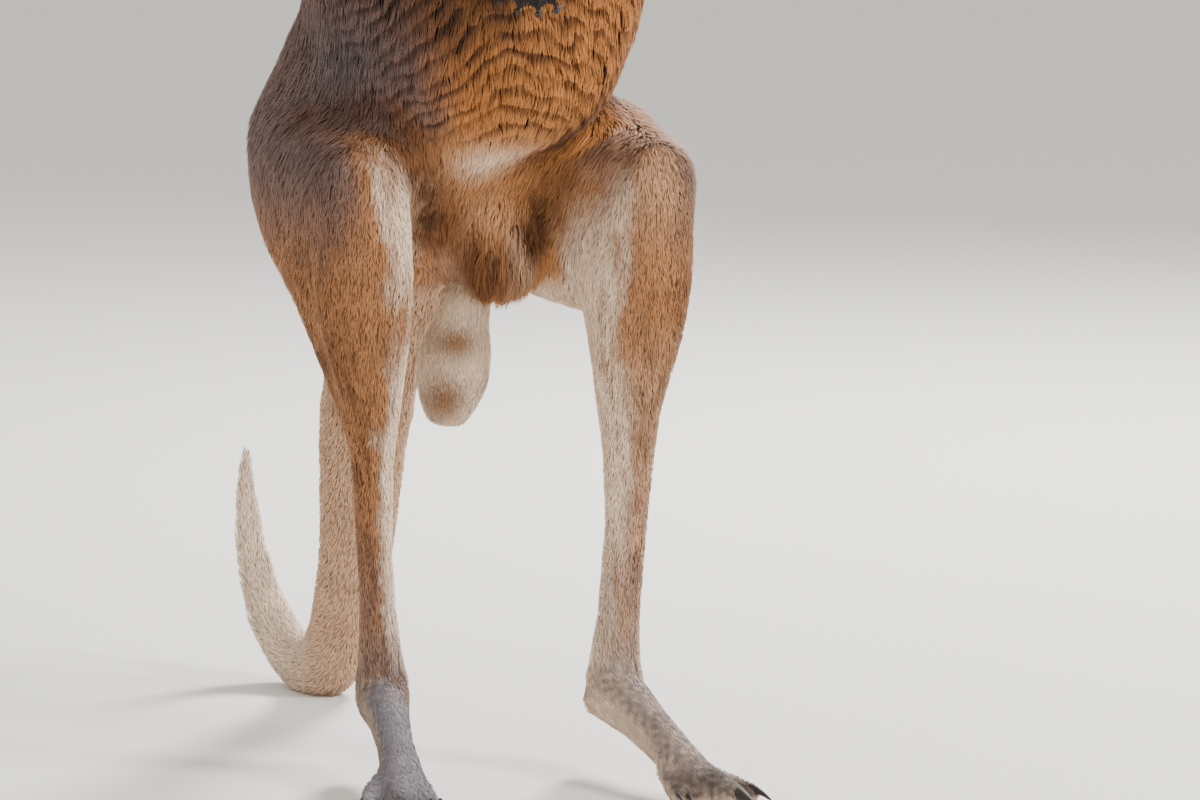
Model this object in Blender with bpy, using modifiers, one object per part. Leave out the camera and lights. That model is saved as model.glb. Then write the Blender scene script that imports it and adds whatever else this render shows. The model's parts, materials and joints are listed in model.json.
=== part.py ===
"""A male red kangaroo standing tall on its toes and its tail, life size.

The animal faces -Y, its right side is -X and the floor is Z = 0. Its flesh is
lofted over a few named joints, grown together into one body, and then parted
with thin cuts into the parts a person would name. Claws, eyes and ears are
pieces of their own, each in a socket a hair wider than itself.
All lengths are in metres.
"""

import math

import bmesh
import bpy
import numpy as np
from mathutils import Matrix, Vector
from mathutils.bvhtree import BVHTree

# ---- fits and mesh sizes -------------------------------------------------
GAP = 0.0004            # room between two parts that meet
BULK_VOXEL = 0.008      # grain of trunk and thighs while they are blended
SOFT_VOXEL = 0.006      # grain while limbs, tail and head are blended in
FINE_VOXEL = 0.0032     # grain that still keeps fingers and toes
BULK_ROUNDS = 26        # smoothing rounds over trunk and thighs
SOFT_ROUNDS = 10        # smoothing rounds over limbs, tail and head
FINE_ROUNDS = 3         # smoothing rounds over fingers, toes and face
RING_SIDES = 28         # points round a lofted ring
RINGS_PER_GAP = 5       # rings between two stations of a loft

SOCKET = 0.0003         # room round a part plugged into another
BODY_TRIS, HEAD_TRIS, FEET_TRIS, HANDS_TRIS = 1400, 460, 350, 320    # triangle budgets

# ---- the skeleton, which drives every size ------------------------------
FLOOR = 0.0
PELVIS_X = -0.012       # the trunk leans a little over the right leg
SHOULDER = (0.116, -0.030, 1.148)
TWIST_FROM, TWIST_TO = 0.62, 1.20   # heights between which the trunk turns
TWIST = math.radians(-9)            # towards the animal's right
HEAD_TURN = math.radians(-7)        # more of the same, in the neck
HEAD_TURN_FROM, HEAD_TURN_TO = 1.20, 1.33

LEGS = {
    "right": {
        "side": -1,
        "hip": (-0.124, 0.150, 0.685),
        "rump": 0.098,
        "knee": (-0.181, -0.085, 0.645),
        "ankle": (-0.130, 0.000, 0.105),
        "ball": (-0.160, -0.188, 0.031),
        "toe_out": math.radians(10),
    },
    "left": {
        "side": 1,
        "hip": (0.090, 0.138, 0.655),
        "rump": 0.088,
        "knee": (0.140, -0.115, 0.638),
        "ankle": (0.117, -0.048, 0.102),
        "ball": (0.143, -0.236, 0.031),
        "toe_out": math.radians(12),
    },
}
ARMS = {
    "right": {
        "side": -1,
        "elbow": (-0.194, -0.082, 0.956),
        "wrist": (-0.112, -0.258, 1.028),
        "knuckles": (-0.090, -0.296, 0.968),
        "curl": 0.0,
        "spread": 1.30,
    },
    "left": {
        "side": 1,
        "elbow": (0.222, -0.132, 0.945),
        "wrist": (-0.008, -0.298, 0.930),
        "knuckles": (-0.035, -0.322, 0.869),
        "curl": 0.014,
        "spread": 1.05,
    },
}


# ---- small helpers -------------------------------------------------------
def clear_scene():
    for obj in list(bpy.data.objects):
        bpy.data.objects.remove(obj, do_unlink=True)


def new_collection(name):
    made = bpy.data.collections.new(name)
    bpy.context.scene.collection.children.link(made)
    return made


def material(name, colour, roughness):
    made = bpy.data.materials.new(name)
    made.use_nodes = True
    shader = made.node_tree.nodes["Principled BSDF"]
    shader.inputs["Base Color"].default_value = (*colour, 1.0)
    shader.inputs["Roughness"].default_value = roughness
    shader.inputs["Metallic"].default_value = 0.0
    made.diffuse_color = (*colour, 1.0)
    return made


def object_from(bm, name, collection):
    bmesh.ops.triangulate(bm, faces=bm.faces)
    bmesh.ops.recalc_face_normals(bm, faces=bm.faces)
    mesh = bpy.data.meshes.new(name)
    bm.to_mesh(mesh)
    bm.free()
    obj = bpy.data.objects.new(name, mesh)
    collection.objects.link(obj)
    return obj


def between(a, b, share):
    """The point that share of the way from a to b."""
    return Vector(a).lerp(Vector(b), share)


def smooth_step(value, low, high):
    t = min(1.0, max(0.0, (value - low) / (high - low)))
    return t * t * (3 - 2 * t)


def turn_at(height):
    angle = TWIST * smooth_step(height, TWIST_FROM, TWIST_TO)
    return angle + HEAD_TURN * smooth_step(height, HEAD_TURN_FROM, HEAD_TURN_TO)


def turned(point):
    """The twist of the trunk and neck, as a smooth turn about a plumb line."""
    angle = turn_at(point.z)
    axis = Vector((0.0, 0.03, 0.0))
    flat = Matrix.Rotation(angle, 3, "Z") @ (point - axis)
    lean = PELVIS_X * smooth_step(point.z, 0.30, 0.66)
    return flat + axis + Vector((lean, 0.0, 0.0))


def scale_head(obj):
    """The head's pieces are drawn at one size and set to HEAD_SCALE here."""
    pivot = Vector(HEAD_PIVOT)
    for vertex in obj.data.vertices:
        vertex.co = pivot + (vertex.co - pivot) * HEAD_SCALE
    obj.data.update()


def turn_object(obj):
    for vertex in obj.data.vertices:
        vertex.co = turned(vertex.co)
    obj.data.update()


# ---- lofts ---------------------------------------------------------------
def through(rows, per_gap):
    """Catmull-Rom curve through the rows of an array."""
    rows = np.asarray(rows, float)
    first = 2 * rows[0] - rows[1]
    last = 2 * rows[-1] - rows[-2]
    padded = np.vstack([first, rows, last])
    made = []
    for i in range(len(rows) - 1):
        a, b, c, d = padded[i:i + 4]
        for t in np.linspace(0, 1, per_gap, endpoint=False):
            made.append(
                0.5 * (2 * b + (c - a) * t + (2 * a - 5 * b + 4 * c - d) * t**2
                       + (3 * b - a - 3 * c + d) * t**3)
            )
    made.append(rows[-1])
    return np.array(made)


def loft(name, stations, facing, collection, caps=(0.6, 0.6), square=2.0,
         sides=RING_SIDES, per_gap=RINGS_PER_GAP, dome=(0.45, 0.75, 0.93)):
    """A closed form through stations of (place, half width, front, back).

    facing says which way a ring's front looks. caps are the lengths of the
    rounded ends, as shares of the end rings' mean radius; dome says where the
    rings of those ends sit; square above 2 makes the rings boxier.
    """
    rows = [(*place, wide, front, back) for place, wide, front, back in stations]
    line = through(rows, per_gap)
    places, sizes = line[:, :3], np.maximum(line[:, 3:], 1e-4)
    runs = np.gradient(places, axis=0)
    rings = [(place, run, size, 1.0) for place, run, size in zip(places, runs, sizes)]
    for end, cap, way in ((0, caps[0], -1), (-1, caps[1], 1)):
        place, run, size = places[end], runs[end], sizes[end]
        reach = cap * size.mean()
        step = run / np.linalg.norm(run) * way * reach
        grown = [
            (place + step * out, run, size, math.sqrt(1 - out * out))
            for out in dome
        ]
        rings = grown[::-1] + rings if way < 0 else rings + grown
    bm = bmesh.new()
    loops = []
    facing = Vector(facing)
    angles = [2 * math.pi * k / sides for k in range(sides)]
    for place, run, (wide, front, back), share in rings:
        along = Vector(run).normalized()
        ahead = (facing - along * facing.dot(along)).normalized()
        across = along.cross(ahead)
        loop = []
        for angle in angles:
            c, s = math.cos(angle), math.sin(angle)
            c = math.copysign(abs(c) ** (2 / square), c)
            s = math.copysign(abs(s) ** (2 / square), s)
            deep = front if s > 0 else back
            offset = across * (wide * c) + ahead * (deep * s)
            loop.append(bm.verts.new(Vector(place) + offset * share))
        loops.append(loop)
    for low, high in zip(loops, loops[1:]):
        for k in range(sides):
            n = (k + 1) % sides
            bm.faces.new((low[k], low[n], high[n], high[k]))
    bm.faces.new(loops[0][::-1])
    bm.faces.new(loops[-1])
    return object_from(bm, name, collection)


def ball(name, centre, radii, collection, round_segments=24, high_segments=16):
    """An ellipsoid."""
    bm = bmesh.new()
    bmesh.ops.create_uvsphere(bm, u_segments=round_segments,
                              v_segments=high_segments, radius=1.0)
    bmesh.ops.transform(bm, verts=bm.verts, matrix=Matrix.Translation(centre)
                        @ Matrix.Diagonal((*radii, 1)))
    return object_from(bm, name, collection)


# ---- the soft forms ------------------------------------------------------
def trunk_forms(where):
    front = (0, -1, 0)
    spine = [
        ((0.012, 0.055, 0.540), 0.050, 0.050, 0.070),
        ((0.006, 0.070, 0.590), 0.088, 0.080, 0.120),
        ((-0.006, 0.065, 0.650), 0.118, 0.105, 0.165),
        ((-0.032, 0.055, 0.720), 0.141, 0.182, 0.185),
        ((-0.018, 0.045, 0.800), 0.170, 0.230, 0.182),
        ((-0.002, 0.038, 0.880), 0.182, 0.228, 0.174),
        ((0.000, 0.034, 0.960), 0.168, 0.208, 0.162),
        ((0.000, 0.028, 1.040), 0.146, 0.175, 0.144),
        ((0.000, 0.020, 1.105), 0.129, 0.148, 0.128),
        ((0.000, 0.010, 1.165), 0.112, 0.128, 0.112),
        ((0.000, -0.002, 1.215), 0.092, 0.106, 0.098),
    ]
    forms = [loft("spine", spine, front, where, square=2.12)]
    forms.append(ball("belly", (-0.014, -0.050, 0.795), (0.150, 0.142, 0.126), where))
    forms.append(ball("breast", (0, -0.055, 1.105), (0.098, 0.086, 0.120), where))
    forms.append(ball("pubis", (0.010, -0.005, 0.560), (0.048, 0.045, 0.058), where))
    neck = [
        ((0, 0.004, 1.160), 0.112, 0.116, 0.112),
        ((0, -0.006, 1.215), 0.099, 0.106, 0.100),
        ((0, -0.014, 1.265), 0.086, 0.096, 0.088),
        ((0, -0.022, 1.315), 0.078, 0.088, 0.079),
        ((0, -0.034, 1.365), 0.072, 0.080, 0.070),
    ]
    forms.append(loft("neck_form", neck, front, where))
    for side in (-1, 1):
        blade = [
            ((side * 0.055, 0.068, 1.020), 0.030, 0.040, 0.030),
            ((side * 0.076, 0.056, 1.085), 0.040, 0.052, 0.038),
            ((side * 0.090, 0.028, 1.150), 0.042, 0.056, 0.040),
            ((side * 0.086, -0.005, 1.190), 0.036, 0.045, 0.040),
        ]
        forms.append(loft(f"shoulder_blade{side}", blade, (0, 1, 0.3), where))
        breast = [
            ((side * 0.035, -0.098, 1.060), 0.034, 0.028, 0.040),
            ((side * 0.062, -0.084, 1.115), 0.042, 0.034, 0.045),
            ((side * 0.090, -0.050, 1.150), 0.042, 0.036, 0.045),
        ]
        forms.append(loft(f"breast_muscle{side}", breast, front, where))
        rump = [
            ((side * 0.060 - 0.012, 0.130, 0.850), 0.050, 0.060, 0.050),
            ((side * 0.085 - 0.014, 0.135, 0.780), 0.072, 0.080, 0.075),
            ((side * 0.100 - 0.016, 0.135, 0.700), 0.085, 0.090, 0.100),
        ]
        forms.append(loft(f"rump{side}", rump, front, where))
        forms.append(ball(f"deltoid{side}", (side * 0.102, -0.018, 1.132),
                          (0.056, 0.066, 0.080), where))
    root = [
        ((-0.014, 0.120, 0.720), 0.118, 0.120, 0.110),
        ((-0.014, 0.185, 0.660), 0.112, 0.110, 0.100),
        ((-0.016, 0.245, 0.600), 0.092, 0.092, 0.088),
        ((-0.022, 0.300, 0.535), 0.074, 0.076, 0.076),
    ]
    forms.append(loft("tail_root", root, (0, -1, -0.2), where))
    flank = [
        ((-0.122, 0.075, 0.880), 0.038, 0.060, 0.060),
        ((-0.132, 0.085, 0.810), 0.050, 0.070, 0.080),
        ((-0.138, 0.105, 0.740), 0.069, 0.085, 0.090),
        ((-0.138, 0.125, 0.680), 0.080, 0.090, 0.100),
    ]
    forms.append(loft("flank_right", flank, front, where))
    return forms


def thigh_forms(name, leg, where):
    side = leg["side"]
    hip, knee, ankle = (Vector(leg[key]) for key in ("hip", "knee", "ankle"))
    up = (0, -0.2, 1)
    out = Vector((side, 0, 0))
    thigh = [
        (hip + Vector((0, 0.055, -0.020)), 0.082, 0.087, 0.120),
        (hip + out * 0.010 + Vector((0, 0.000, -0.010)), 0.100, 0.096, 0.145),
        (hip.lerp(knee, 0.40) + out * 0.008, 0.088, 0.083, 0.150),
        (hip.lerp(knee, 0.72) + out * 0.002, 0.069, 0.068, 0.125),
        (knee + Vector((0, -0.006, 0.004)) - out * 0.004, 0.050, 0.058, 0.080),
    ]
    return [
        loft(f"thigh_form_{name}", thigh, up, where, caps=(0.7, 0.55)),
        hamstring_form(name, leg, where),
    ]


def hamstring_form(name, leg, where):
    """The mass behind the thigh, running down to the calf."""
    hip, knee, ankle = (Vector(leg[key]) for key in ("hip", "knee", "ankle"))
    out = Vector((leg["side"], 0, 0))
    rump = leg["rump"]
    line = [
        (hip + out * 0.004 + Vector((0, 0.045, -0.050)), rump, 0.092, 0.084),
        (hip.lerp(knee, 0.34) + out * 0.006 + Vector((0, 0.035, -0.082)), rump * 0.86, 0.090, 0.080),
        (knee.lerp(ankle, 0.16) + Vector((0, 0.082, 0)), 0.060, 0.080, 0.064),
        (knee.lerp(ankle, 0.28) + Vector((0, 0.056, 0)), 0.047, 0.056, 0.052),
        (knee.lerp(ankle, 0.40) + Vector((0, 0.032, 0)), 0.033, 0.040, 0.038),
        (knee.lerp(ankle, 0.50) + Vector((0, 0.018, 0)), 0.024, 0.028, 0.027),
    ]
    return loft(f"hamstring_{name}", line, (0, -1, 0), where)


def shin_forms(name, leg, where):
    side = leg["side"]
    knee, ankle = Vector(leg["knee"]), Vector(leg["ankle"])
    out = Vector((side, 0, 0))
    ahead = Vector((side * math.sin(leg["toe_out"]), -math.cos(leg["toe_out"]), 0))
    # down the shin: share of the way, outward shift, half width, front, back
    shape = [
        (-0.04, -0.006, 0.044, 0.044, 0.056),
        (0.06, -0.007, 0.050, 0.050, 0.082),
        (0.18, -0.004, 0.053, 0.044, 0.096),
        (0.30, -0.004, 0.047, 0.038, 0.086),
        (0.42, -0.006, 0.033, 0.033, 0.066),
        (0.54, -0.003, 0.024, 0.029, 0.050),
        (0.68, 0.000, 0.0205, 0.026, 0.043),
        (0.84, 0.000, 0.0210, 0.025, 0.041),
        (0.94, 0.000, 0.0265, 0.027, 0.044),
        (1.00, 0.000, 0.0300, 0.028, 0.047),
    ]
    shin = [
        (knee.lerp(ankle, share) + out * shift, wide, front, back)
        for share, shift, wide, front, back in shape
    ]
    return [loft(f"shin_form_{name}", shin, ahead, where, caps=(0.8, 0.75))]


def tail_forms(where):
    """Down from the rump to the floor, then on, up and to the right."""
    under = (0, -1, -0.2)
    line = [
        ((-0.014, 0.165, 0.690), 0.096, 0.110, 0.100),
        ((-0.014, 0.240, 0.620), 0.080, 0.088, 0.084),
        ((-0.022, 0.305, 0.530), 0.067, 0.070, 0.069),
        ((-0.032, 0.358, 0.430), 0.0585, 0.060, 0.059),
        ((-0.036, 0.402, 0.320), 0.0515, 0.053, 0.052),
        ((-0.033, 0.438, 0.210), 0.0455, 0.046, 0.046),
        ((-0.035, 0.474, 0.112), 0.0410, 0.040, 0.045),
        ((-0.045, 0.520, 0.038), 0.0370, 0.046, 0.047),
        ((-0.063, 0.578, 0.028), 0.0325, 0.036, 0.042),
        ((-0.086, 0.630, 0.074), 0.0275, 0.027, 0.031),
        ((-0.100, 0.660, 0.148), 0.0205, 0.020, 0.020),
        ((-0.104, 0.670, 0.222), 0.0150, 0.015, 0.015),
        ((-0.102, 0.670, 0.272), 0.0090, 0.009, 0.009),
    ]
    return [loft("tail_form", line, under, where, caps=(0.5, 0.9))]


def arm_forms(name, arm, where):
    side = arm["side"]
    shoulder = Vector((side * SHOULDER[0], SHOULDER[1], SHOULDER[2]))
    elbow, wrist = Vector(arm["elbow"]), Vector(arm["wrist"])
    upper = [
        (shoulder + Vector((-side * 0.014, 0.006, 0.010)), 0.044, 0.050, 0.050),
        (shoulder.lerp(elbow, 0.22), 0.048, 0.054, 0.054),
        (shoulder.lerp(elbow, 0.50), 0.040, 0.045, 0.046),
        (shoulder.lerp(elbow, 0.80), 0.035, 0.038, 0.040),
        (elbow, 0.034, 0.034, 0.036),
    ]
    forms = [loft(f"upper_arm_form_{name}", upper, (0, -1, 0), where)]
    fore = [
        (elbow + Vector((0, 0.006, -0.002)), 0.033, 0.034, 0.032),
        (elbow.lerp(wrist, 0.22), 0.038, 0.037, 0.036),
        (elbow.lerp(wrist, 0.45), 0.035, 0.034, 0.033),
        (elbow.lerp(wrist, 0.72), 0.027, 0.025, 0.025),
        (elbow.lerp(wrist, 0.93), 0.0225, 0.020, 0.020),
        (wrist, 0.0230, 0.0195, 0.0195),
    ]
    forms.append(loft(f"forearm_form_{name}", fore, (0, 0, 1), where))
    return forms


def head_forms(where):
    """The skull and muzzle, lofted from the nose back."""
    up = (0, 0, 1)
    skull = [
        ((0, -0.268, 1.357), 0.0300, 0.0330, 0.0310),
        ((0, -0.246, 1.360), 0.0350, 0.0415, 0.0360),
        ((0, -0.215, 1.366), 0.0360, 0.0460, 0.0400),
        ((0, -0.180, 1.373), 0.0375, 0.0490, 0.0445),
        ((0, -0.145, 1.381), 0.0430, 0.0510, 0.0510),
        ((0, -0.108, 1.390), 0.0500, 0.0520, 0.0570),
        ((0, -0.072, 1.398), 0.0570, 0.0535, 0.0610),
        ((0, -0.036, 1.401), 0.0575, 0.0515, 0.0600),
        ((0, -0.002, 1.396), 0.0510, 0.0450, 0.0530),
    ]
    forms = [loft("skull", skull, up, where, caps=(0.35, 0.8), square=2.25)]
    for side in (-1, 1):
        cheek = [
            ((side * 0.022, -0.155, 1.357), 0.018, 0.022, 0.020),
            ((side * 0.036, -0.115, 1.362), 0.022, 0.030, 0.028),
            ((side * 0.042, -0.075, 1.368), 0.023, 0.034, 0.033),
            ((side * 0.038, -0.040, 1.374), 0.020, 0.030, 0.030),
        ]
        forms.append(loft(f"cheek{side}", cheek, up, where))
        brow = [
            ((side * 0.031, -0.152, 1.413), 0.010, 0.008, 0.012),
            ((side * 0.043, -0.122, 1.425), 0.012, 0.010, 0.012),
            ((side * 0.048, -0.092, 1.427), 0.012, 0.010, 0.014),
        ]
        forms.append(loft(f"brow{side}", brow, up, where))
    return forms


def foot_frame(leg):
    """Ahead and outward directions of a foot, flat on the floor."""
    run = Vector(leg["ball"]) - Vector(leg["ankle"])
    ahead = Vector((run.x, run.y, 0)).normalized()
    outward = Vector((-ahead.y, ahead.x, 0)) * leg["side"]
    return ahead, outward


def toe_lines(leg):
    """Centre lines of the toes: name, points, half width, up and down sizes."""
    ahead, outward = foot_frame(leg)
    foot = Vector(leg["ball"])

    def at(forward, out, height):
        place = foot + ahead * forward + outward * out
        return Vector((place.x, place.y, height))

    return {
        "4": [
            (at(-0.010, 0.004, 0.030), 0.0200, 0.0200, 0.0355),
            (at(0.030, 0.006, 0.026), 0.0190, 0.0190, 0.0315),
            (at(0.062, 0.008, 0.024), 0.0175, 0.0170, 0.0290),
            (at(0.084, 0.009, 0.024), 0.0145, 0.0140, 0.0230),
        ],
        "5": [
            (at(-0.040, 0.014, 0.034), 0.0115, 0.0130, 0.0220),
            (at(-0.005, 0.031, 0.024), 0.0135, 0.0130, 0.0270),
            (at(0.024, 0.043, 0.019), 0.0125, 0.0120, 0.0230),
            (at(0.040, 0.048, 0.018), 0.0100, 0.0100, 0.0160),
        ],
        "23": [
            (at(-0.050, -0.013, 0.034), 0.0085, 0.0110, 0.0140),
            (at(-0.010, -0.022, 0.024), 0.0100, 0.0105, 0.0170),
            (at(0.020, -0.028, 0.019), 0.0105, 0.0095, 0.0160),
            (at(0.032, -0.030, 0.018), 0.0090, 0.0080, 0.0130),
        ],
    }


def foot_forms(name, leg, where):
    ahead, outward = foot_frame(leg)
    ankle, front = Vector(leg["ankle"]), Vector(leg["ball"])
    up = (0, 0, 1)
    sole = [
        (ankle - ahead * 0.042 + Vector((0, 0, -0.028)), 0.0190, 0.0200, 0.0180),
        (ankle - ahead * 0.018 + Vector((0, 0, -0.018)), 0.0270, 0.0260, 0.0310),
        (ankle + ahead * 0.012 + Vector((0, 0, -0.010)), 0.0285, 0.0250, 0.0410),
        (ankle.lerp(front, 0.30), 0.0220, 0.0225, 0.0370),
        (ankle.lerp(front, 0.60), 0.0195, 0.0215, 0.0300),
        (ankle.lerp(front, 0.85), 0.0220, 0.0210, 0.0270),
        (front, 0.0240, 0.0200, 0.0360),
        (front + ahead * 0.022 - Vector((0, 0, 0.004)), 0.0220, 0.0180, 0.0320),
    ]
    forms = [loft(f"sole_{name}", sole, up, where, caps=(0.7, 0.5))]
    for toe, line in toe_lines(leg).items():
        forms.append(loft(f"toe_form_{name}_{toe}", line, up, where,
                          caps=(0.4, 0.75), sides=20))
    return forms


def hand_frame(arm):
    """Down the hand, across it towards the thumb, and out of its back."""
    wrist, knuckles = Vector(arm["wrist"]), Vector(arm["knuckles"])
    down = (knuckles - wrist).normalized()
    thumb = Vector((-arm["side"], 0.10, 0.0))
    thumb = (thumb - down * thumb.dot(down)).normalized()
    back = down.cross(thumb) * arm["side"]
    if back.y > 0:
        back = -back
    return down, thumb, back


CLAW_LENGTH = {"1": 0.020, "2": 0.031, "3": 0.034, "4": 0.032, "5": 0.025}
HEAD_SCALE, HEAD_PIVOT = 1.07, (0.0, -0.030, 1.395)
EYE, EYE_RADIUS = (0.0395, -0.122, 1.404), 0.0138
FINGERS = {
    # finger: across at the knuckle, across at the tip, length, root up the hand
    "1": (0.0215, 0.0370, 0.0240, 0.020),
    "2": (0.0135, 0.0200, 0.0300, 0.002),
    "3": (0.0010, 0.0015, 0.0320, 0.0),
    "4": (-0.0115, -0.0175, 0.0300, 0.002),
    "5": (-0.0210, -0.0340, 0.0260, 0.009),
}


def finger_line(arm, finger):
    """Root, middle joint and tip of a finger that curls towards the palm."""
    across, across_tip, length, behind = FINGERS[finger]
    down, thumb, back = hand_frame(arm)
    root = Vector(arm["knuckles"]) + thumb * across - down * behind
    spread = thumb * (across_tip * arm["spread"] - across)
    middle = root + spread * 0.7 + down * length * 0.60 + back * 0.0020
    tip = root + spread + down * length * 0.72 - back * length * 0.60
    return root, middle, tip


def hand_forms(name, arm, where):
    down, thumb, back = hand_frame(arm)
    wrist, knuckles = Vector(arm["wrist"]), Vector(arm["knuckles"])
    palm = [
        (wrist - down * 0.004, 0.0220, 0.0185, 0.0185),
        (wrist.lerp(knuckles, 0.30), 0.0235, 0.0175, 0.0185),
        (wrist.lerp(knuckles, 0.70), 0.0265, 0.0160, 0.0190),
        (knuckles, 0.0265, 0.0130, 0.0170),
        (knuckles + down * 0.010, 0.0240, 0.0110, 0.0135),
    ]
    forms = [loft(f"palm_{name}", palm, back, where, caps=(0.5, 0.4))]
    for finger in FINGERS:
        root, middle, tip = finger_line(arm, finger)
        line = [
            (root, 0.0070, 0.0085, 0.0085),
            (middle, 0.0062, 0.0070, 0.0072),
            (tip, 0.0056, 0.0062, 0.0064),
        ]
        forms.append(loft(f"finger_{name}_{finger}", line, back, where,
                          caps=(0.3, 0.6), sides=16))
    return forms


def claw(name, root, ahead, bend, length, wide, high, where, depth=0.008):
    """A curved claw out of root, its tip bent towards bend."""
    ahead, bend = Vector(ahead).normalized(), Vector(bend).normalized()
    line = []
    for share in (0.0, 0.5, 0.8, 1.0):
        place = root - ahead * depth + ahead * (length + depth) * share
        place += bend * length * 0.26 * max(0.0, share - 0.12) ** 1.8
        size = max(0.06, (1 - share) ** 0.72)
        line.append((place, wide * size, high * size, high * 0.75 * size))
    return loft(name, line, -bend, where, caps=(0.1, 0.8), sides=6, per_gap=1,
                dome=(0.8,))


def ear(name, side, where):
    """A long cupped ear on a round stem, open to the front and outside."""
    root = Vector((side * 0.036, -0.020, 1.430))
    tip = Vector((side * 0.100, -0.014, 1.572))
    along = (tip - root).normalized()
    opening = Vector((side * 0.62, -0.80, 0.0))
    opening = (opening - along * opening.dot(along)).normalized()
    across = along.cross(opening)
    # share of the length, half width, depth of the back, thickness
    shape = [
        (-0.09, 0.0130, 0.0130, 0.0260),
        (0.02, 0.0150, 0.0155, 0.0300),
        (0.11, 0.0185, 0.0205, 0.0210),
        (0.21, 0.0240, 0.0215, 0.0080),
        (0.36, 0.0295, 0.0198, 0.0046),
        (0.54, 0.0308, 0.0158, 0.0040),
        (0.74, 0.0252, 0.0098, 0.0038),
        (0.91, 0.0140, 0.0050, 0.0034),
        (1.00, 0.0050, 0.0022, 0.0028),
    ]
    steps = 7
    bm = bmesh.new()
    loops = []
    for share, wide, deep, thick in shape:
        centre = root.lerp(tip, share) - opening * 0.010 * math.sin(math.pi * max(0, share))
        loop = []
        for k in range(steps):
            angle = math.pi * (k / (steps - 1) - 0.5)
            loop.append(centre + across * wide * math.sin(angle)
                        - opening * deep * math.cos(angle))
        for k in range(steps - 2, 0, -1):
            angle = math.pi * (k / (steps - 1) - 0.5)
            inner = max(wide - thick * 0.45, wide * 0.72)
            loop.append(centre + across * inner * math.sin(angle)
                        - opening * (deep - thick) * math.cos(angle))
        loops.append([bm.verts.new(place) for place in loop])
    count = len(loops[0])
    for low, high in zip(loops, loops[1:]):
        for k in range(count):
            n = (k + 1) % count
            bm.faces.new((low[k], low[n], high[n], high[k]))
    bm.faces.new(loops[0][::-1])
    bm.faces.new(loops[-1])
    return object_from(bm, name, where)


# ---- growing the flesh together and parting it ---------------------------
def join(objects, name):
    bm = bmesh.new()
    for obj in objects:
        bm.from_mesh(obj.data)
    where = objects[0].users_collection[0]
    for obj in objects:
        bpy.data.objects.remove(obj, do_unlink=True)
    mesh = bpy.data.meshes.new(name)
    bm.to_mesh(mesh)
    bm.free()
    made = bpy.data.objects.new(name, mesh)
    where.objects.link(made)
    return made


def bake(obj):
    """Replaces an object's mesh with the result of its modifiers."""
    graph = bpy.context.evaluated_depsgraph_get()
    mesh = bpy.data.meshes.new_from_object(obj.evaluated_get(graph))
    obj.modifiers.clear()
    obj.data = mesh


def grow_together(obj, voxel, rounds):
    remesh = obj.modifiers.new("remesh", "REMESH")
    remesh.mode = "VOXEL"
    remesh.voxel_size = voxel
    bake(obj)
    smooth = obj.modifiers.new("smooth", "SMOOTH")
    smooth.factor = 0.5
    smooth.iterations = rounds
    bake(obj)


def thin_out(obj, inside, budget):
    """Decimates the part of a mesh where inside(point) holds to a budget."""
    mesh = obj.data
    mesh.calc_loop_triangles()
    chosen = [inside(vertex.co) for vertex in mesh.vertices]
    total = len(mesh.loop_triangles)
    within = sum(all(chosen[i] for i in tri.vertices) for tri in mesh.loop_triangles)
    group = obj.vertex_groups.new(name="thin")
    group.add([i for i, hit in enumerate(chosen) if hit], 1.0, "REPLACE")
    decimate = obj.modifiers.new("decimate", "DECIMATE")
    decimate.ratio = (total - within + budget) / total
    decimate.vertex_group = "thin"
    decimate.vertex_group_factor = 1000.0
    decimate.use_collapse_triangulate = True
    bake(obj)
    obj.vertex_groups.clear()


def grown(obj, by):
    """A copy a hair larger all round, to cut a socket with."""
    copy = obj.copy()
    copy.data = obj.data.copy()
    obj.users_collection[0].objects.link(copy)
    bm = bmesh.new()
    bm.from_mesh(copy.data)
    bm.normal_update()
    moves = [vertex.normal.copy() for vertex in bm.verts]
    for vertex, move in zip(bm.verts, moves):
        vertex.co += move * by
    bm.to_mesh(copy.data)
    bm.free()
    return copy


def slab(centre, normal, across, half_across, half_other, thick=GAP, turn=False):
    """A thin plate that parts the flesh it passes through.

    With turn, the plate goes round with the trunk's twist, staying flat.
    """
    normal, across = Vector(normal).normalized(), Vector(across)
    if turn:
        spin = Matrix.Rotation(turn_at(centre[2]), 3, "Z")
        centre, normal, across = turned(Vector(centre)), spin @ normal, spin @ across
    across = (across - normal * across.dot(normal)).normalized()
    other = normal.cross(across)
    bm = bmesh.new()
    bmesh.ops.create_cube(bm, size=1.0)
    for vertex in bm.verts:
        x, y, z = vertex.co
        vertex.co = (Vector(centre) + across * x * 2 * half_across
                     + other * y * 2 * half_other + normal * z * thick)
    return object_from(bm, "slab", bpy.data.collections["tools"])


def triangulate(obj):
    """Flat triangles only, so that the next cut meets no bent face."""
    bm = bmesh.new()
    bm.from_mesh(obj.data)
    bmesh.ops.triangulate(bm, faces=bm.faces)
    bm.to_mesh(obj.data)
    bm.free()


def cut(obj, tools):
    """Takes each tool's volume out of an object, then drops the tools."""
    for tool in tools:
        boolean = obj.modifiers.new("cut", "BOOLEAN")
        boolean.operation = "DIFFERENCE"
        boolean.solver = "EXACT"
        boolean.object = tool
        bake(obj)
        triangulate(obj)
        bpy.data.objects.remove(tool, do_unlink=True)


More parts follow.
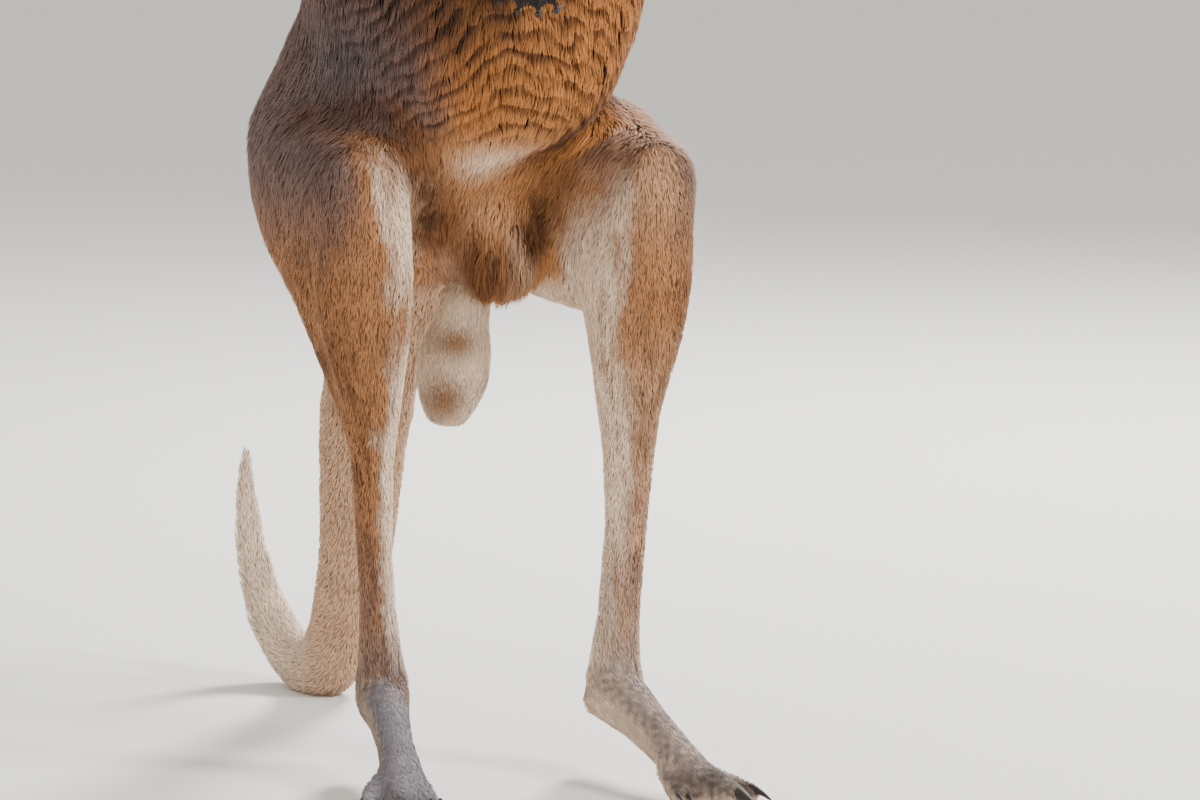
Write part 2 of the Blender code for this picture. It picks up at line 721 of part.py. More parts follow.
def islands(obj):
    """Splits an object into its loose parts, as meshes."""
    bm = bmesh.new()
    bm.from_mesh(obj.data)
    bm.verts.ensure_lookup_table()
    seen, made = set(), []
    for start in bm.verts:
        if start.index in seen:
            continue
        stack, found = [start], {start.index}
        while stack:
            here = stack.pop()
            for edge in here.link_edges:
                there = edge.other_vert(here)
                if there.index not in found:
                    found.add(there.index)
                    stack.append(there)
        seen |= found
        made.append(found)
    parts = []
    for found in made:
        part = bm.copy()
        part.verts.ensure_lookup_table()
        drop = [v for v in part.verts if v.index not in found]
        bmesh.ops.delete(part, geom=drop, context="VERTS")
        bmesh.ops.triangulate(part, faces=part.faces)
        parts.append(part)
    bm.free()
    return parts


def holds(bm, point):
    """True where a closed mesh has the point inside."""
    tree = BVHTree.FromBMesh(bm)
    hits, start, way = 0, Vector(point), Vector((0.31, 0.47, 0.83)).normalized()
    while True:
        hit, _, _, _ = tree.ray_cast(start, way)
        if hit is None:
            return hits % 2 == 1
        hits += 1
        start = hit + way * 1e-6


# ---- the build -----------------------------------------------------------
clear_scene()
parts_in = new_collection("kangaroo")
tools_in = new_collection("tools")

bulk = trunk_forms(tools_in)
for obj in bulk:
    turn_object(obj)
for name, leg in LEGS.items():
    bulk += thigh_forms(name, leg, tools_in)
flesh = join(bulk, "flesh")
grow_together(flesh, BULK_VOXEL, BULK_ROUNDS)

soft = head_forms(tools_in)
for obj in soft:
    scale_head(obj)
for name, arm in ARMS.items():
    soft += arm_forms(name, arm, tools_in)
for obj in soft:
    turn_object(obj)
for name, leg in LEGS.items():
    soft += shin_forms(name, leg, tools_in)
soft += tail_forms(tools_in)
flesh = join([flesh] + soft, "flesh")
grow_together(flesh, SOFT_VOXEL, SOFT_ROUNDS)

fine = []
for name, leg in LEGS.items():
    fine += foot_forms(name, leg, tools_in)
for name, arm in ARMS.items():
    made = hand_forms(name, arm, tools_in)
    for obj in made:
        turn_object(obj)
    fine += made
flesh = join([flesh] + fine, "flesh")
grow_together(flesh, FINE_VOXEL, FINE_ROUNDS)

for name, leg in LEGS.items():
    ahead, outward = foot_frame(leg)
    leg["ahead"], leg["outward"] = ahead, outward


def in_head(place):
    return place.z > 1.325


def in_feet(place):
    return place.z < 0.125 and place.y < 0.12


def in_hands(place):
    return any(
        (place - turned(Vector(arm["knuckles"]))).length < 0.085
        for arm in ARMS.values()
    )


def in_body(place):
    return not (in_head(place) or in_feet(place) or in_hands(place))


thin_out(flesh, in_body, BODY_TRIS)
thin_out(flesh, in_head, HEAD_TRIS)
thin_out(flesh, in_feet, FEET_TRIS)
thin_out(flesh, in_hands, HANDS_TRIS)

loose = {}          # the parts that are pieces of their own
for name, leg in LEGS.items():
    ahead, outward = leg["ahead"], leg["outward"]
    down = Vector((0, 0, -1))
    for toe, line in toe_lines(leg).items():
        tip, before = line[-1][0], line[-2][0]
        way = (tip - before).normalized()
        if toe == "23":
            for part, out in (("2", -0.0048), ("3", 0.0048)):
                root = tip + outward * out * 1.0 + Vector((0, 0, 0.002)) + way * 0.002
                loose[f"toe_claw_{part}_{name}"] = claw(
                    f"toe_claw_{part}_{name}", root, way, down,
                    0.017, 0.0030, 0.0038, parts_in)
            continue
        size = {"4": (0.041, 0.0085, 0.0085), "5": (0.026, 0.0058, 0.0062)}[toe]
        root = tip + way * (0.006 if toe == "4" else 0.004) + Vector((0, 0, 0.004))
        loose[f"toe_claw_{toe}_{name}"] = claw(
            f"toe_claw_{toe}_{name}", root, way + Vector((0, 0, -0.12)), down,
            *size, parts_in, depth=0.010)
for name, arm in ARMS.items():
    down, _, back = hand_frame(arm)
    for finger in FINGERS:
        _, middle, tip = finger_line(arm, finger)
        made = claw(f"finger_claw_{finger}_{name}", tip + back * 0.0015,
                    (tip - middle) - down * arm["curl"], -back - down * 1.4,
                    CLAW_LENGTH[finger], 0.0036,
                    0.0052, parts_in, depth=0.007)
        turn_object(made)
        loose[f"finger_claw_{finger}_{name}"] = made
for name, side in (("right", -1), ("left", 1)):
    eye = ball(f"eye_{name}", (side * EYE[0], EYE[1], EYE[2]), (EYE_RADIUS,) * 3, parts_in, 12, 8)
    scale_head(eye)
    turn_object(eye)
    loose[f"eye_{name}"] = eye
    made = ear(f"ear_{name}", side, parts_in)
    scale_head(made)
    turn_object(made)
    loose[f"ear_{name}"] = made
sack = [
    ((-0.022, 0.036, 0.520), 0.026, 0.024, 0.024),
    ((-0.028, 0.038, 0.492), 0.030, 0.028, 0.028),
    ((-0.033, 0.042, 0.460), 0.039, 0.036, 0.037),
    ((-0.037, 0.050, 0.422), 0.041, 0.038, 0.038),
    ((-0.040, 0.056, 0.388), 0.028, 0.027, 0.027),
]
loose["scrotum"] = loft("scrotum", sack, (0, -1, 0), parts_in, caps=(0.5, 0.7),
                        sides=12, per_gap=2, dome=(0.7,))

cut(flesh, [grown(obj, SOCKET) for obj in loose.values()])


# ---- parting the flesh at the joints --------------------------------------
def joint_slab(before, joint, after, across, half_across, half_other,
               shift=(0, 0, 0)):
    """A slab across a bend, halfway between the two runs that meet there."""
    before, joint, after = Vector(before), Vector(joint), Vector(after)
    normal = (joint - before).normalized() + (after - joint).normalized()
    return slab(joint + Vector(shift), normal, across, half_across, half_other,
                turn=True)


body_slabs = [
    slab((0, -0.030, 1.336), (0, -0.298, 0.954), (1, 0, 0), 0.115, 0.115, turn=True),
    slab((0, -0.004, 1.238), (0, -0.200, 0.980), (1, 0, 0), 0.115, 0.125, turn=True),
    slab((-0.122, 0.045, 0.640), (-1.0, -0.250, -0.550), (0, 1, 0), 0.250, 0.230),
    slab((0.120, 0.045, 0.660), (1.0, -0.127, -0.580), (0, 1, 0), 0.235, 0.235),
    slab((-0.018, 0.287, 0.562), (0, 0.585, -0.810), (1, 0, 0), 0.105, 0.098),
]
for arm in ARMS.values():
    side = arm["side"]
    body_slabs.append(slab((side * 0.130, -0.035, 1.075), (side, -0.450, 0.270),
                           (0, 1, 0), 0.130, 0.165, turn=True))
floor_block = slab((0, 0.15, FLOOR - 0.1), (0, 0, 1), (1, 0, 0), 1.0, 1.0, thick=0.2)
cut(flesh, body_slabs + [floor_block])

# slabs that part a limb once it is off the body, so they can reach right across
limb_slabs = {
    "tail_base": [
        slab((-0.034, 0.385, 0.365), (0, 0.371, -0.928), (1, 0, 0), 0.075, 0.075),
        slab((-0.034, 0.462, 0.145), (0, 0.345, -0.938), (1, 0, 0), 0.070, 0.070),
        slab((-0.086, 0.630, 0.074), (-0.037, 0.082, 0.120), (1, 0, 0), 0.050, 0.050),
    ],
}
for name, arm in ARMS.items():
    shoulder = (arm["side"] * SHOULDER[0], *SHOULDER[1:])
    limb_slabs[f"upper_arm_{name}"] = [
        joint_slab(shoulder, arm["elbow"], arm["wrist"], (1, 0, 0), 0.150, 0.150),
        joint_slab(arm["elbow"], arm["wrist"], arm["knuckles"], (1, 0, 0), 0.100, 0.100),
    ]
for name, leg in LEGS.items():
    knee, ankle = Vector(leg["knee"]), Vector(leg["ankle"])
    limb_slabs[f"thigh_{name}"] = [
        slab(knee + Vector((0, 0.040, -0.003)), (0, -0.72, -0.69), (1, 0, 0), 0.300, 0.400),
        slab(ankle + Vector((0, 0.006, 0.014)), (0, -0.25, -1.0), (1, 0, 0), 0.100, 0.100),
    ]

seeds = {
    "head": turned(Vector((0, -0.100, 1.400))),
    "neck": turned(Vector((0, -0.010, 1.290))),
    "trunk": turned(Vector((0, 0.040, 0.950))),
    "tail_base": Vector((-0.027, 0.335, 0.480)),
    "tail_middle": Vector((-0.034, 0.425, 0.250)),
    "tail_bend": Vector((-0.045, 0.520, 0.040)),
    "tail_tip": Vector((-0.102, 0.666, 0.185)),
}
for name, arm in ARMS.items():
    shoulder = Vector((arm["side"] * SHOULDER[0], *SHOULDER[1:]))
    wrist = Vector(arm["wrist"])
    seeds[f"upper_arm_{name}"] = turned(
        between(shoulder, arm["elbow"], 0.5) + Vector((arm["side"] * 0.012, 0, 0)))
    seeds[f"forearm_{name}"] = turned(between(arm["elbow"], wrist, 0.5))
    seeds[f"hand_{name}"] = turned(between(wrist, arm["knuckles"], 0.6))
for name, leg in LEGS.items():
    out = Vector((leg["side"] * 0.03, 0, 0))
    seeds[f"thigh_{name}"] = between(leg["hip"], leg["knee"], 0.4) + out
    seeds[f"shin_{name}"] = between(leg["knee"], leg["ankle"], 0.5)
    seeds[f"foot_{name}"] = between(leg["ankle"], leg["ball"], 0.6)

CRUMB = 2e-6            # m3: a piece smaller than this that no seed is in is dropped
slabs_left = dict(limb_slabs)
for limb in islands(flesh):
    mine = [key for key in slabs_left if holds(limb, seeds[key])]
    whole = object_from(limb, "limb", tools_in)
    for key in mine:
        cut(whole, slabs_left.pop(key))
    for piece in islands(whole):
        named = [name for name, seed in seeds.items() if holds(piece, seed)]
        size = abs(piece.calc_volume())
        if len(named) == 1:
            object_from(piece, named[0], parts_in)
        elif size > CRUMB:
            raise RuntimeError(f"a piece of {size:.6f} m3 holds {named}")
        else:
            piece.free()
    bpy.data.objects.remove(whole, do_unlink=True)
bpy.data.objects.remove(flesh, do_unlink=True)

# ---- colour, shading and place --------------------------------------------
furs = {
    "fur_rust": material("fur_rust", (0.36, 0.22, 0.13), 0.85),
    "fur_pale": material("fur_pale", (0.62, 0.52, 0.40), 0.85),
    "fur_dark": material("fur_dark", (0.11, 0.08, 0.065), 0.80),
    "skin_pale": material("skin_pale", (0.60, 0.46, 0.36), 0.60),
    "claw_horn": material("claw_horn", (0.025, 0.022, 0.020), 0.35),
    "eye_dark": material("eye_dark", (0.020, 0.012, 0.008), 0.08),
}
worn = (
    ("eye_", "eye_dark"), ("toe_claw", "claw_horn"), ("finger_claw", "claw_horn"),
    ("scrotum", "skin_pale"), ("hand_", "fur_dark"), ("foot_", "fur_dark"),
    ("shin_", "fur_pale"), ("tail_", "fur_pale"), ("", "fur_rust"),
)
parts = sorted(parts_in.objects, key=lambda part: part.name)
for obj in list(tools_in.objects):
    bpy.data.objects.remove(obj, do_unlink=True)
bpy.data.collections.remove(tools_in)

corners = np.array([vert.co[:] for part in parts for vert in part.data.vertices])
low, high = corners.min(axis=0), corners.max(axis=0)
SHIFT = -Vector(((low[0] + high[0]) / 2, (low[1] + high[1]) / 2, low[2]))
for part in parts:
    slot = next(fur for start, fur in worn if part.name.startswith(start))
    part.data.materials.clear()
    part.data.materials.append(furs[slot])
    part.data.transform(Matrix.Translation(SHIFT))
    bpy.ops.object.select_all(action="DESELECT")
    bpy.context.view_layer.objects.active = part
    part.select_set(True)
    bpy.ops.object.shade_smooth()
    part.data.set_sharp_from_angle(angle=math.radians(50))
    part.select_set(False)
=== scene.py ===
# %% [markdown]
# # A male red kangaroo, standing tall
# A big male stands on the toes of his long hind feet and props himself on his
# tail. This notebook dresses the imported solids: one skin is drawn over all the
# flesh, the face is worked into it, and a coat of small solid locks is laid on
# top, following the way the hair lies on the living animal.

import json
import math

import bpy
import numpy as np
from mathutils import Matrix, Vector
from mathutils.bvhtree import BVHTree
from mathutils.kdtree import KDTree

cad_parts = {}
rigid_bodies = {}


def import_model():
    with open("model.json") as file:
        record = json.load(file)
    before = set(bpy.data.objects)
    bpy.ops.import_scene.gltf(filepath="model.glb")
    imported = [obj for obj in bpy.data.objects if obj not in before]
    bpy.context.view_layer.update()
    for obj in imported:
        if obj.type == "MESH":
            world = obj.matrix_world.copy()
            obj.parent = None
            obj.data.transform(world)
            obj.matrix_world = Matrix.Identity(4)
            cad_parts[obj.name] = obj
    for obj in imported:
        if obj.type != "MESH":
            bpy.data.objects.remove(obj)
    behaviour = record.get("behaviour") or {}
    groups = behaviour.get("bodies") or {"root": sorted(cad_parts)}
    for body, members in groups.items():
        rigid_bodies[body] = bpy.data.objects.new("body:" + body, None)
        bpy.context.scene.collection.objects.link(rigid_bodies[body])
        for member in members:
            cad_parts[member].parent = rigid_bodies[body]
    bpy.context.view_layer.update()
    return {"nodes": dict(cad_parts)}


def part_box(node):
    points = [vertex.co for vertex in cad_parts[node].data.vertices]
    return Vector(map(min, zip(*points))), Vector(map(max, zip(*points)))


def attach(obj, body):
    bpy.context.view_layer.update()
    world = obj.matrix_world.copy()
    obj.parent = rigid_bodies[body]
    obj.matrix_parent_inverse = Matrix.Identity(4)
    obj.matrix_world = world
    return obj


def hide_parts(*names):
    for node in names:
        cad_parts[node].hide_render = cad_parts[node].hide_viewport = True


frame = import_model()
nodes = frame["nodes"]
bpy.ops.object.select_all(action="DESELECT")

# %% [markdown]
# ## Small helpers
# Many steps pick one object, run an operator on it and let go again. Others
# need the mesh as arrays of numbers, which is far quicker than one vertex at a
# time. `ramp` is the soft step used for every marking, and `drift` is a smooth
# random value over space, made of a few waves, for everything that wanders.


# %% Helpers for objects
def only(obj):
    """Selects obj alone and makes it active."""
    bpy.ops.object.select_all(action="DESELECT")
    obj.select_set(True)
    bpy.context.view_layer.objects.active = obj


def edit(obj, work):
    """Runs work() on the whole of obj in edit mode."""
    only(obj)
    bpy.ops.object.mode_set(mode="EDIT")
    bpy.ops.mesh.select_all(action="SELECT")
    work()
    bpy.ops.object.mode_set(mode="OBJECT")


def apply_all(obj):
    """Applies every modifier, top first."""
    only(obj)
    for modifier in list(obj.modifiers):
        bpy.ops.object.modifier_apply(modifier=modifier.name)


def joined(members):
    """Joins objects into the first of them."""
    bpy.ops.object.select_all(action="DESELECT")
    for member in members:
        member.select_set(True)
    bpy.context.view_layer.objects.active = members[0]
    bpy.ops.object.join()
    return bpy.context.object


def pick_faces(obj, chosen):
    """Opens obj for editing with only the chosen faces selected."""
    only(obj)
    mesh = obj.data
    mesh.polygons.foreach_set("select", chosen)
    mesh.vertices.foreach_set("select", np.zeros(len(mesh.vertices), bool))
    mesh.edges.foreach_set("select", np.zeros(len(mesh.edges), bool))
    bpy.ops.object.mode_set(mode="EDIT")
    bpy.ops.mesh.select_mode(type="FACE")


# %% Helpers for arrays
def read(items, field, wide=3, kind=np.float64):
    """One field of all vertices, edges or faces as an array."""
    values = np.empty(len(items) * wide, kind)
    items.foreach_get(field, values)
    return values.reshape(-1, wide) if wide > 1 else values


def put(mesh, label, values):
    """Stores one number for each vertex under a name."""
    stored = mesh.attributes.new(label, "FLOAT", "POINT")
    stored.data.foreach_set("value", np.asarray(values, np.float32).ravel())


def unit(ways):
    return ways / np.maximum(np.linalg.norm(ways, axis=-1, keepdims=True), 1e-12)


def ramp(values, low, high):
    """0 at low and 1 at high, with a soft rise between; low may be the larger."""
    share = np.clip((np.asarray(values, float) - low) / (high - low), 0, 1)
    return share * share * (3 - 2 * share)


def drift(places, size, seed):
    """A smooth random value, mostly between -1 and 1, that changes over size."""
    dice = np.random.default_rng(seed)
    ways = unit(dice.normal(size=(8, 3))) * (2 * math.pi / size)
    ways *= dice.uniform(0.6, 1.5, (8, 1))
    return np.sin(places @ ways.T + dice.uniform(0, 2 * math.pi, 8)).sum(1) / 3.2


# %% [markdown]
# ## The skin
# On the animal one hide covers everything, so no seam may show between the
# solids. Copies of the flesh solids are swollen by half a millimetre until they
# overlap, and a voxel remesh turns them into one surface. The flat facets are
# smoothed away, much on the trunk and hardly at all on the fingers. The solids
# reach to the tips of the hair, so the hide is then drawn in by the depth that
# the coat has at each place.

# %% How the hide is treated on each part
# smoothing, coat depth, hair length, hair width, locks per square centimetre
HIDE = {
    "trunk": (1.0, 0.0110, 0.0270, 0.0019, 11.0),
    "neck": (1.0, 0.0095, 0.0210, 0.0018, 14.0),
    "thigh": (1.0, 0.0085, 0.0210, 0.0018, 12.0),
    "shin": (0.7, 0.0045, 0.0120, 0.0014, 17.0),
    "tail_base": (1.0, 0.0075, 0.0160, 0.0018, 8.0),
    "tail_middle": (1.0, 0.0050, 0.0115, 0.0016, 9.0),
    "tail_bend": (0.7, 0.0045, 0.0105, 0.0015, 10.0),
    "tail_tip": (0.4, 0.0038, 0.0105, 0.0015, 11.0),
    "upper_arm": (0.7, 0.0065, 0.0160, 0.0017, 11.0),
    "forearm": (0.6, 0.0045, 0.0120, 0.0015, 13.0),
    "hand": (0.12, 0.0014, 0.0048, 0.0009, 26.0),
    "foot": (0.16, 0.0018, 0.0055, 0.0010, 15.0),
    "head": (0.30, 0.0030, 0.0075, 0.0010, 24.0),
    "ear": (0.22, 0.0031, 0.0050, 0.0009, 16.0),
    "scrotum": (0.5, 0.0022, 0.0065, 0.0011, 17.0),
}
flesh = sorted(
    name for name in nodes if not name.startswith(("eye_", "toe_claw", "finger_claw"))
)
SWELL, EAR_SWELL = 0.0005, 0.0030    # ears are thin, and would tear in the remesh
CLAW_ROOT = 0.0075                   # how much of a claw is rooted in the flesh
VOXEL = 0.0035                       # the grain of the remesh
DEEPEST = 0.0125                     # a coat as deep as this would weigh 1
PLAIN_KEPT = 0.24                    # share of the triangles that plain parts keep
kinds = list(HIDE)
kind_of = [next(k for k, kind in enumerate(kinds) if name.startswith(kind)) for name in flesh]
print(len(flesh), "solids of flesh under one hide")

# %% Copies of the solids, merged so that they can be swollen
def copy_of(name, label):
    copy = bpy.data.objects.new(label, nodes[name].data.copy())
    bpy.context.scene.collection.objects.link(copy)
    return copy


def merged_copy(name, label):
    """A copy of a solid with its loose triangles joined up."""
    copy = copy_of(name, label)
    edit(copy, lambda: bpy.ops.mesh.remove_doubles(threshold=1e-5))
    return copy


def swell(obj, by):
    modifier = obj.modifiers.new("swell", "DISPLACE")
    modifier.strength, modifier.mid_level = by, 0.0
    apply_all(obj)


corners, faces, owners = [], [], []
copies = []
for number, name in enumerate(flesh):
    copy = merged_copy(name, "hide_" + name)
    base = len(corners)
    corners.extend(vert.co.copy() for vert in copy.data.vertices)
    for face in copy.data.polygons:
        faces.append([base + corner for corner in face.vertices])
        owners.append(number)
    swell(copy, EAR_SWELL if name.startswith("ear") else SWELL)
    copies.append(copy)
cad_tree = BVHTree.FromPolygons(corners, faces)
owners = np.array(owners)
print(len(corners), "corners in the solids of flesh")

# %% [markdown]
# The solids have sockets for the eyes and the claws. The hide must run over the
# eyeballs, so that lids can be cut in it, and close round the roots of the
# claws. So the eyes join the union whole, and of each claw the root alone,
# bisected off a short way up.


# %% Fill the sockets of eyes and claws
def thick_end(points):
    """The wide end of a slender shape, and the way from there to its point."""
    centre = points.mean(0)
    axis = np.linalg.svd(points - centre, full_matrices=False)[2][0]
    along = (points - centre) @ axis
    off = np.linalg.norm(points - centre - along[:, None] * axis, axis=1)
    cut = np.median(along)
    if off[along > cut].max() > off[along < cut].max():
        axis, along = -axis, -along
    return centre + axis * along.min(), axis


for name in sorted(nodes):
    if name.startswith("eye_"):
        ball = merged_copy(name, "hide_" + name)
        swell(ball, SWELL)
        copies.append(ball)
    elif "claw" in name:
        plug = merged_copy(name, "plug_" + name)
        end, way = thick_end(read(plug.data.vertices, "co"))
        edit(plug, lambda: bpy.ops.mesh.bisect(
            plane_co=end + way * CLAW_ROOT, plane_no=way, use_fill=True, clear_outer=True))
        swell(plug, SWELL)
        copies.append(plug)
print(len(copies), "bodies in the union")

# %% Remesh them into one surface
skin = joined(copies)
skin.name = "skin"
shell = skin.modifiers.new("shell", "REMESH")
shell.mode, shell.voxel_size = "VOXEL", VOXEL
apply_all(skin)
skin.data.materials.clear()


def keep_one_body():
    """Deletes whatever isn't connected with the lowest point of the hide."""
    only(skin)
    heights = read(skin.data.vertices, "co")[:, 2]
    bpy.ops.object.mode_set(mode="EDIT")
    bpy.ops.mesh.select_mode(type="VERT")
    bpy.ops.mesh.select_all(action="DESELECT")
    bpy.ops.object.mode_set(mode="OBJECT")
    skin.data.vertices[int(heights.argmin())].select = True
    bpy.ops.object.mode_set(mode="EDIT")
    bpy.ops.mesh.select_linked()
    bpy.ops.mesh.select_all(action="INVERT")
    bpy.ops.mesh.delete(type="VERT")
    bpy.ops.object.mode_set(mode="OBJECT")


keep_one_body()
print("hide", len(skin.data.vertices), "vertices")


# %% Which solid each vertex of the hide belongs to
def nearest_part(places):
    return np.array([owners[cad_tree.find_nearest(Vector(p))[2]] for p in places])


def spread(values, edges, rounds):
    """Averages values with those of the neighbours, again and again."""
    count = len(values)
    flat = values.reshape(count, -1)
    near = np.bincount(edges.ravel(), minlength=count).astype(float) + 1
    for _ in range(rounds):
        total = flat.copy()
        for column in range(flat.shape[1]):
            total[:, column] += np.bincount(
                edges[:, 0], flat[edges[:, 1], column], count)
            total[:, column] += np.bincount(
                edges[:, 1], flat[edges[:, 0], column], count)
        flat = total / near[:, None]
    return flat.reshape(values.shape)


def weigh(obj, name, weights):
    """A vertex group from an array, in a few hundred steps."""
    group = obj.vertex_groups.new(name=name)
    steps = np.round(np.clip(weights, 0, 1) * 200).astype(int)
    order = np.argsort(steps, kind="stable")
    cuts = np.searchsorted(steps[order], np.arange(202))
    for step in range(201):
        chosen = order[cuts[step]:cuts[step + 1]]
        if len(chosen):
            group.add(chosen.tolist(), step / 200, "REPLACE")
    return group


places = read(skin.data.vertices, "co")
edges = read(skin.data.edges, "vertices", 2, np.int32)
part = nearest_part(places)
kind = np.array(kind_of)[part]
table = np.array([HIDE[name] for name in kinds])

# %% Smooth the facets away and draw the hide in by the coat's depth
weigh(skin, "smoothing", spread(table[kind, 0], edges, 6))
depth = spread(table[kind, 1], edges, 10)
weigh(skin, "depth", depth / DEEPEST)
smooth = skin.modifiers.new("smooth", "SMOOTH")
smooth.factor, smooth.iterations, smooth.vertex_group = 0.5, 60, "smoothing"
draw_in = skin.modifiers.new("draw_in", "DISPLACE")
draw_in.strength, draw_in.mid_level, draw_in.vertex_group = -DEEPEST, 0.0, "depth"
settle = skin.modifiers.new("settle", "SMOOTH")
settle.factor, settle.iterations, settle.vertex_group = 0.5, 8, "smoothing"
apply_all(skin)
print("coat depth, mm", round(depth.min() * 1000, 1), "to", round(depth.max() * 1000, 1))

# %% [markdown]
# The remesh is even, but the hide doesn't need to be: the trunk is large and
# plain, and the face is small and full of form. The trunk, limbs and tail are
# thinned with a Decimate modifier that a vertex group keeps off the head, hands
# and feet. The face is then subdivided, twice where the eyes, nostrils and lips
# are.

# %% Thin the large plain parts
small = np.isin(kind, [kinds.index(k) for k in ("head", "hand", "foot", "ear", "scrotum")])
weigh(skin, "plain", np.where(small, 0.0, 1.0))
thin = skin.modifiers.new("thin", "DECIMATE")
thin.ratio, thin.vertex_group, thin.vertex_group_factor = PLAIN_KEPT, "plain", 1000.0
thin.use_collapse_triangulate = True
apply_all(skin)
skin.vertex_groups.clear()
print("hide after thinning", len(skin.data.polygons), "faces")

# %% The head's own directions, from the eyes
eye_right = (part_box("eye_right")[0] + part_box("eye_right")[1]) / 2
eye_left = (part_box("eye_left")[0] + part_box("eye_left")[1]) / 2
EYE_RADIUS = (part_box("eye_left")[1].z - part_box("eye_left")[0].z) / 2
between_eyes = np.array((eye_right + eye_left) / 2)
head_side = unit(np.array(eye_left - eye_right))
head_up = np.array((0.0, 0.0, 1.0))
head_ahead = np.cross(head_side, head_up)
print("eyes at", eye_right, eye_left, "radius", round(EYE_RADIUS, 4))


def head_places(points):
    """Places as sideways, ahead and up from between the eyes."""
    gap = points - between_eyes
    return np.stack([gap @ head_side, gap @ head_ahead, gap @ head_up], axis=1)


# %% Subdivide the face
def refine(chosen):
    """Subdivides the faces whose centre chosen(places) picks."""
    pick_faces(skin, chosen(read(skin.data.polygons, "center")))
    bpy.ops.mesh.subdivide(number_cuts=1)
    bpy.ops.mesh.select_all(action="SELECT")
    bpy.ops.mesh.quads_convert_to_tris()
    bpy.ops.object.mode_set(mode="OBJECT")


def near_face(points):
    side, ahead, up = head_places(points).T
    muzzle = (ahead > 0.055) & (up > -0.10) & (up < 0.05)
    eyes = (np.hypot(ahead, up) < 0.036) & (np.abs(side) > 0.020)
    return (muzzle | eyes) & (np.abs(side) < 0.09)


def near_features(points):
    side, ahead, up = head_places(points).T
    nose = (ahead > 0.135) & (up > -0.062) & (up < 0.05)
    lips = (ahead > 0.060) & (np.abs(up + 0.052) < 0.009)
    eyes = (np.hypot(ahead, up) < 0.026) & (np.abs(side) > 0.030)
    return (nose | lips | eyes) & (np.abs(side) < 0.08)


refine(near_face)
refine(near_features)
print("hide with a fine face", len(skin.data.polygons), "triangles")

# %% [markdown]
# ## The face
# A kangaroo's eye sits well out on the side of the head, under a heavy brow,
# and only an almond of it shows between dark lids. Where the almond is, the hide
# is pushed back behind the eyeball; all round it the hide is laid over the ball
# as a lid. The nostrils are slanted commas in a naked pad, the mouth is a long
# line that runs back under the cheek, and the upper lip hangs a little over the
# lower one. All of it is moved into the fine mesh vertex by vertex, as with a
# sculpting brush.

# %% Lids
ALMOND_HALF = 56                # degrees from the middle of the eye to its corner
UPPER_LID, LOWER_LID = 33, 27   # degrees from there up and down to the lids
LID_THICK, CREASE = 0.0013, 0.0012
co = read(skin.data.vertices, "co")
lid_rim = np.zeros(len(co))
for centre, side in ((np.array(eye_right), -1), (np.array(eye_left), 1)):
    look = unit(head_side * side * 0.90 + head_ahead * 0.36 + head_up * 0.16)
    front = unit(head_ahead - look * (head_ahead @ look))
    top = unit(np.cross(look, front))
    top = top if top[2] > 0 else -top
    gap = co - centre
    far = np.linalg.norm(gap, axis=1)
    near = far < EYE_RADIUS * 2.1
    way = unit(gap)
    out = way @ look
    across = np.degrees(np.arctan2(way @ front, np.maximum(out, 1e-6)))
    upright = np.degrees(np.arctan2(way @ top - 0.10 * (way @ front), np.maximum(out, 1e-6)))
    share = np.clip(1 - (across / ALMOND_HALF) ** 2, 0, 1)
    tall = np.where(upright > 0, UPPER_LID, LOWER_LID) * share ** 0.75
    open_by = (tall - np.abs(upright)) / UPPER_LID
    inside = near & (out > 0) & (open_by > 0)
    around = near & (out > 0.05) & ~inside & (far < EYE_RADIUS * 1.75)
    lid = EYE_RADIUS + LID_THICK + 0.0008 * np.exp(-((open_by + 0.10) / 0.10) ** 2)
    reach = far.copy()
    reach[inside] = EYE_RADIUS * (1 - 0.22 * ramp(open_by[inside], 0, 0.12))
    over = np.maximum(far, lid)
    blend = ramp(far, EYE_RADIUS * 1.2, EYE_RADIUS * 1.75)
    reach[around] = (over * (1 - blend) + far * blend)[around]
    co = np.where((inside | around)[:, None], centre + way * reach[:, None], co)
    crease = around * np.exp(-((open_by + 0.52) / 0.09) ** 2) * (upright > 0)
    co -= way * (crease * CREASE)[:, None]
    dark_edge = ramp(open_by, -0.26, -0.10) * ramp(np.abs(across), 74, 60)
    lid_rim = np.maximum(lid_rim, (near & (out > 0)) * dark_edge)
skin.data.vertices.foreach_set("co", co.ravel())
print("lids over", int((lid_rim > 0.5).sum()), "vertices")


# %% Nose, lips and chin
def mouth_height(ahead):
    """Where the line of the mouth runs, from between the eyes."""
    height = MOUTH_UP - 0.006 * ramp(ahead, nose_front - 0.03, nose_front - 0.085)
    return height + 0.007 * ramp(ahead, nose_front - 0.075, nose_front - 0.105)


side, ahead, up = head_places(co).T
only(skin)
skin.data.update()
normals = read(skin.data.vertices, "normal")
push = np.zeros(len(co))
nose_front = ahead[np.abs(side) < 0.01].max()
PAD_UP, MOUTH_UP = -0.032, -0.0600      # heights from between the eyes
NOSTRIL_OUT, NOSTRIL_DEEP = 0.0125, 0.0075
for way in (-1, 1):
    inward = side * way - NOSTRIL_OUT
    lift = up - PAD_UP
    slant = inward * 0.85 + lift * 0.5
    cross = -inward * 0.5 + lift * 0.85
    comma = np.exp(-((slant / 0.0062) ** 2 + (cross / 0.0028) ** 2))
    push -= NOSTRIL_DEEP * comma * (ahead > nose_front - 0.035)
    wing = np.exp(-(((inward - 0.0045) / 0.0055) ** 2 + ((lift - 0.004) / 0.008) ** 2))
    push += 0.0022 * wing * (ahead > nose_front - 0.035)
mouth_up = mouth_height(ahead)
along_mouth = ramp(ahead, nose_front - 0.108, nose_front - 0.095)
off_line = up - mouth_up
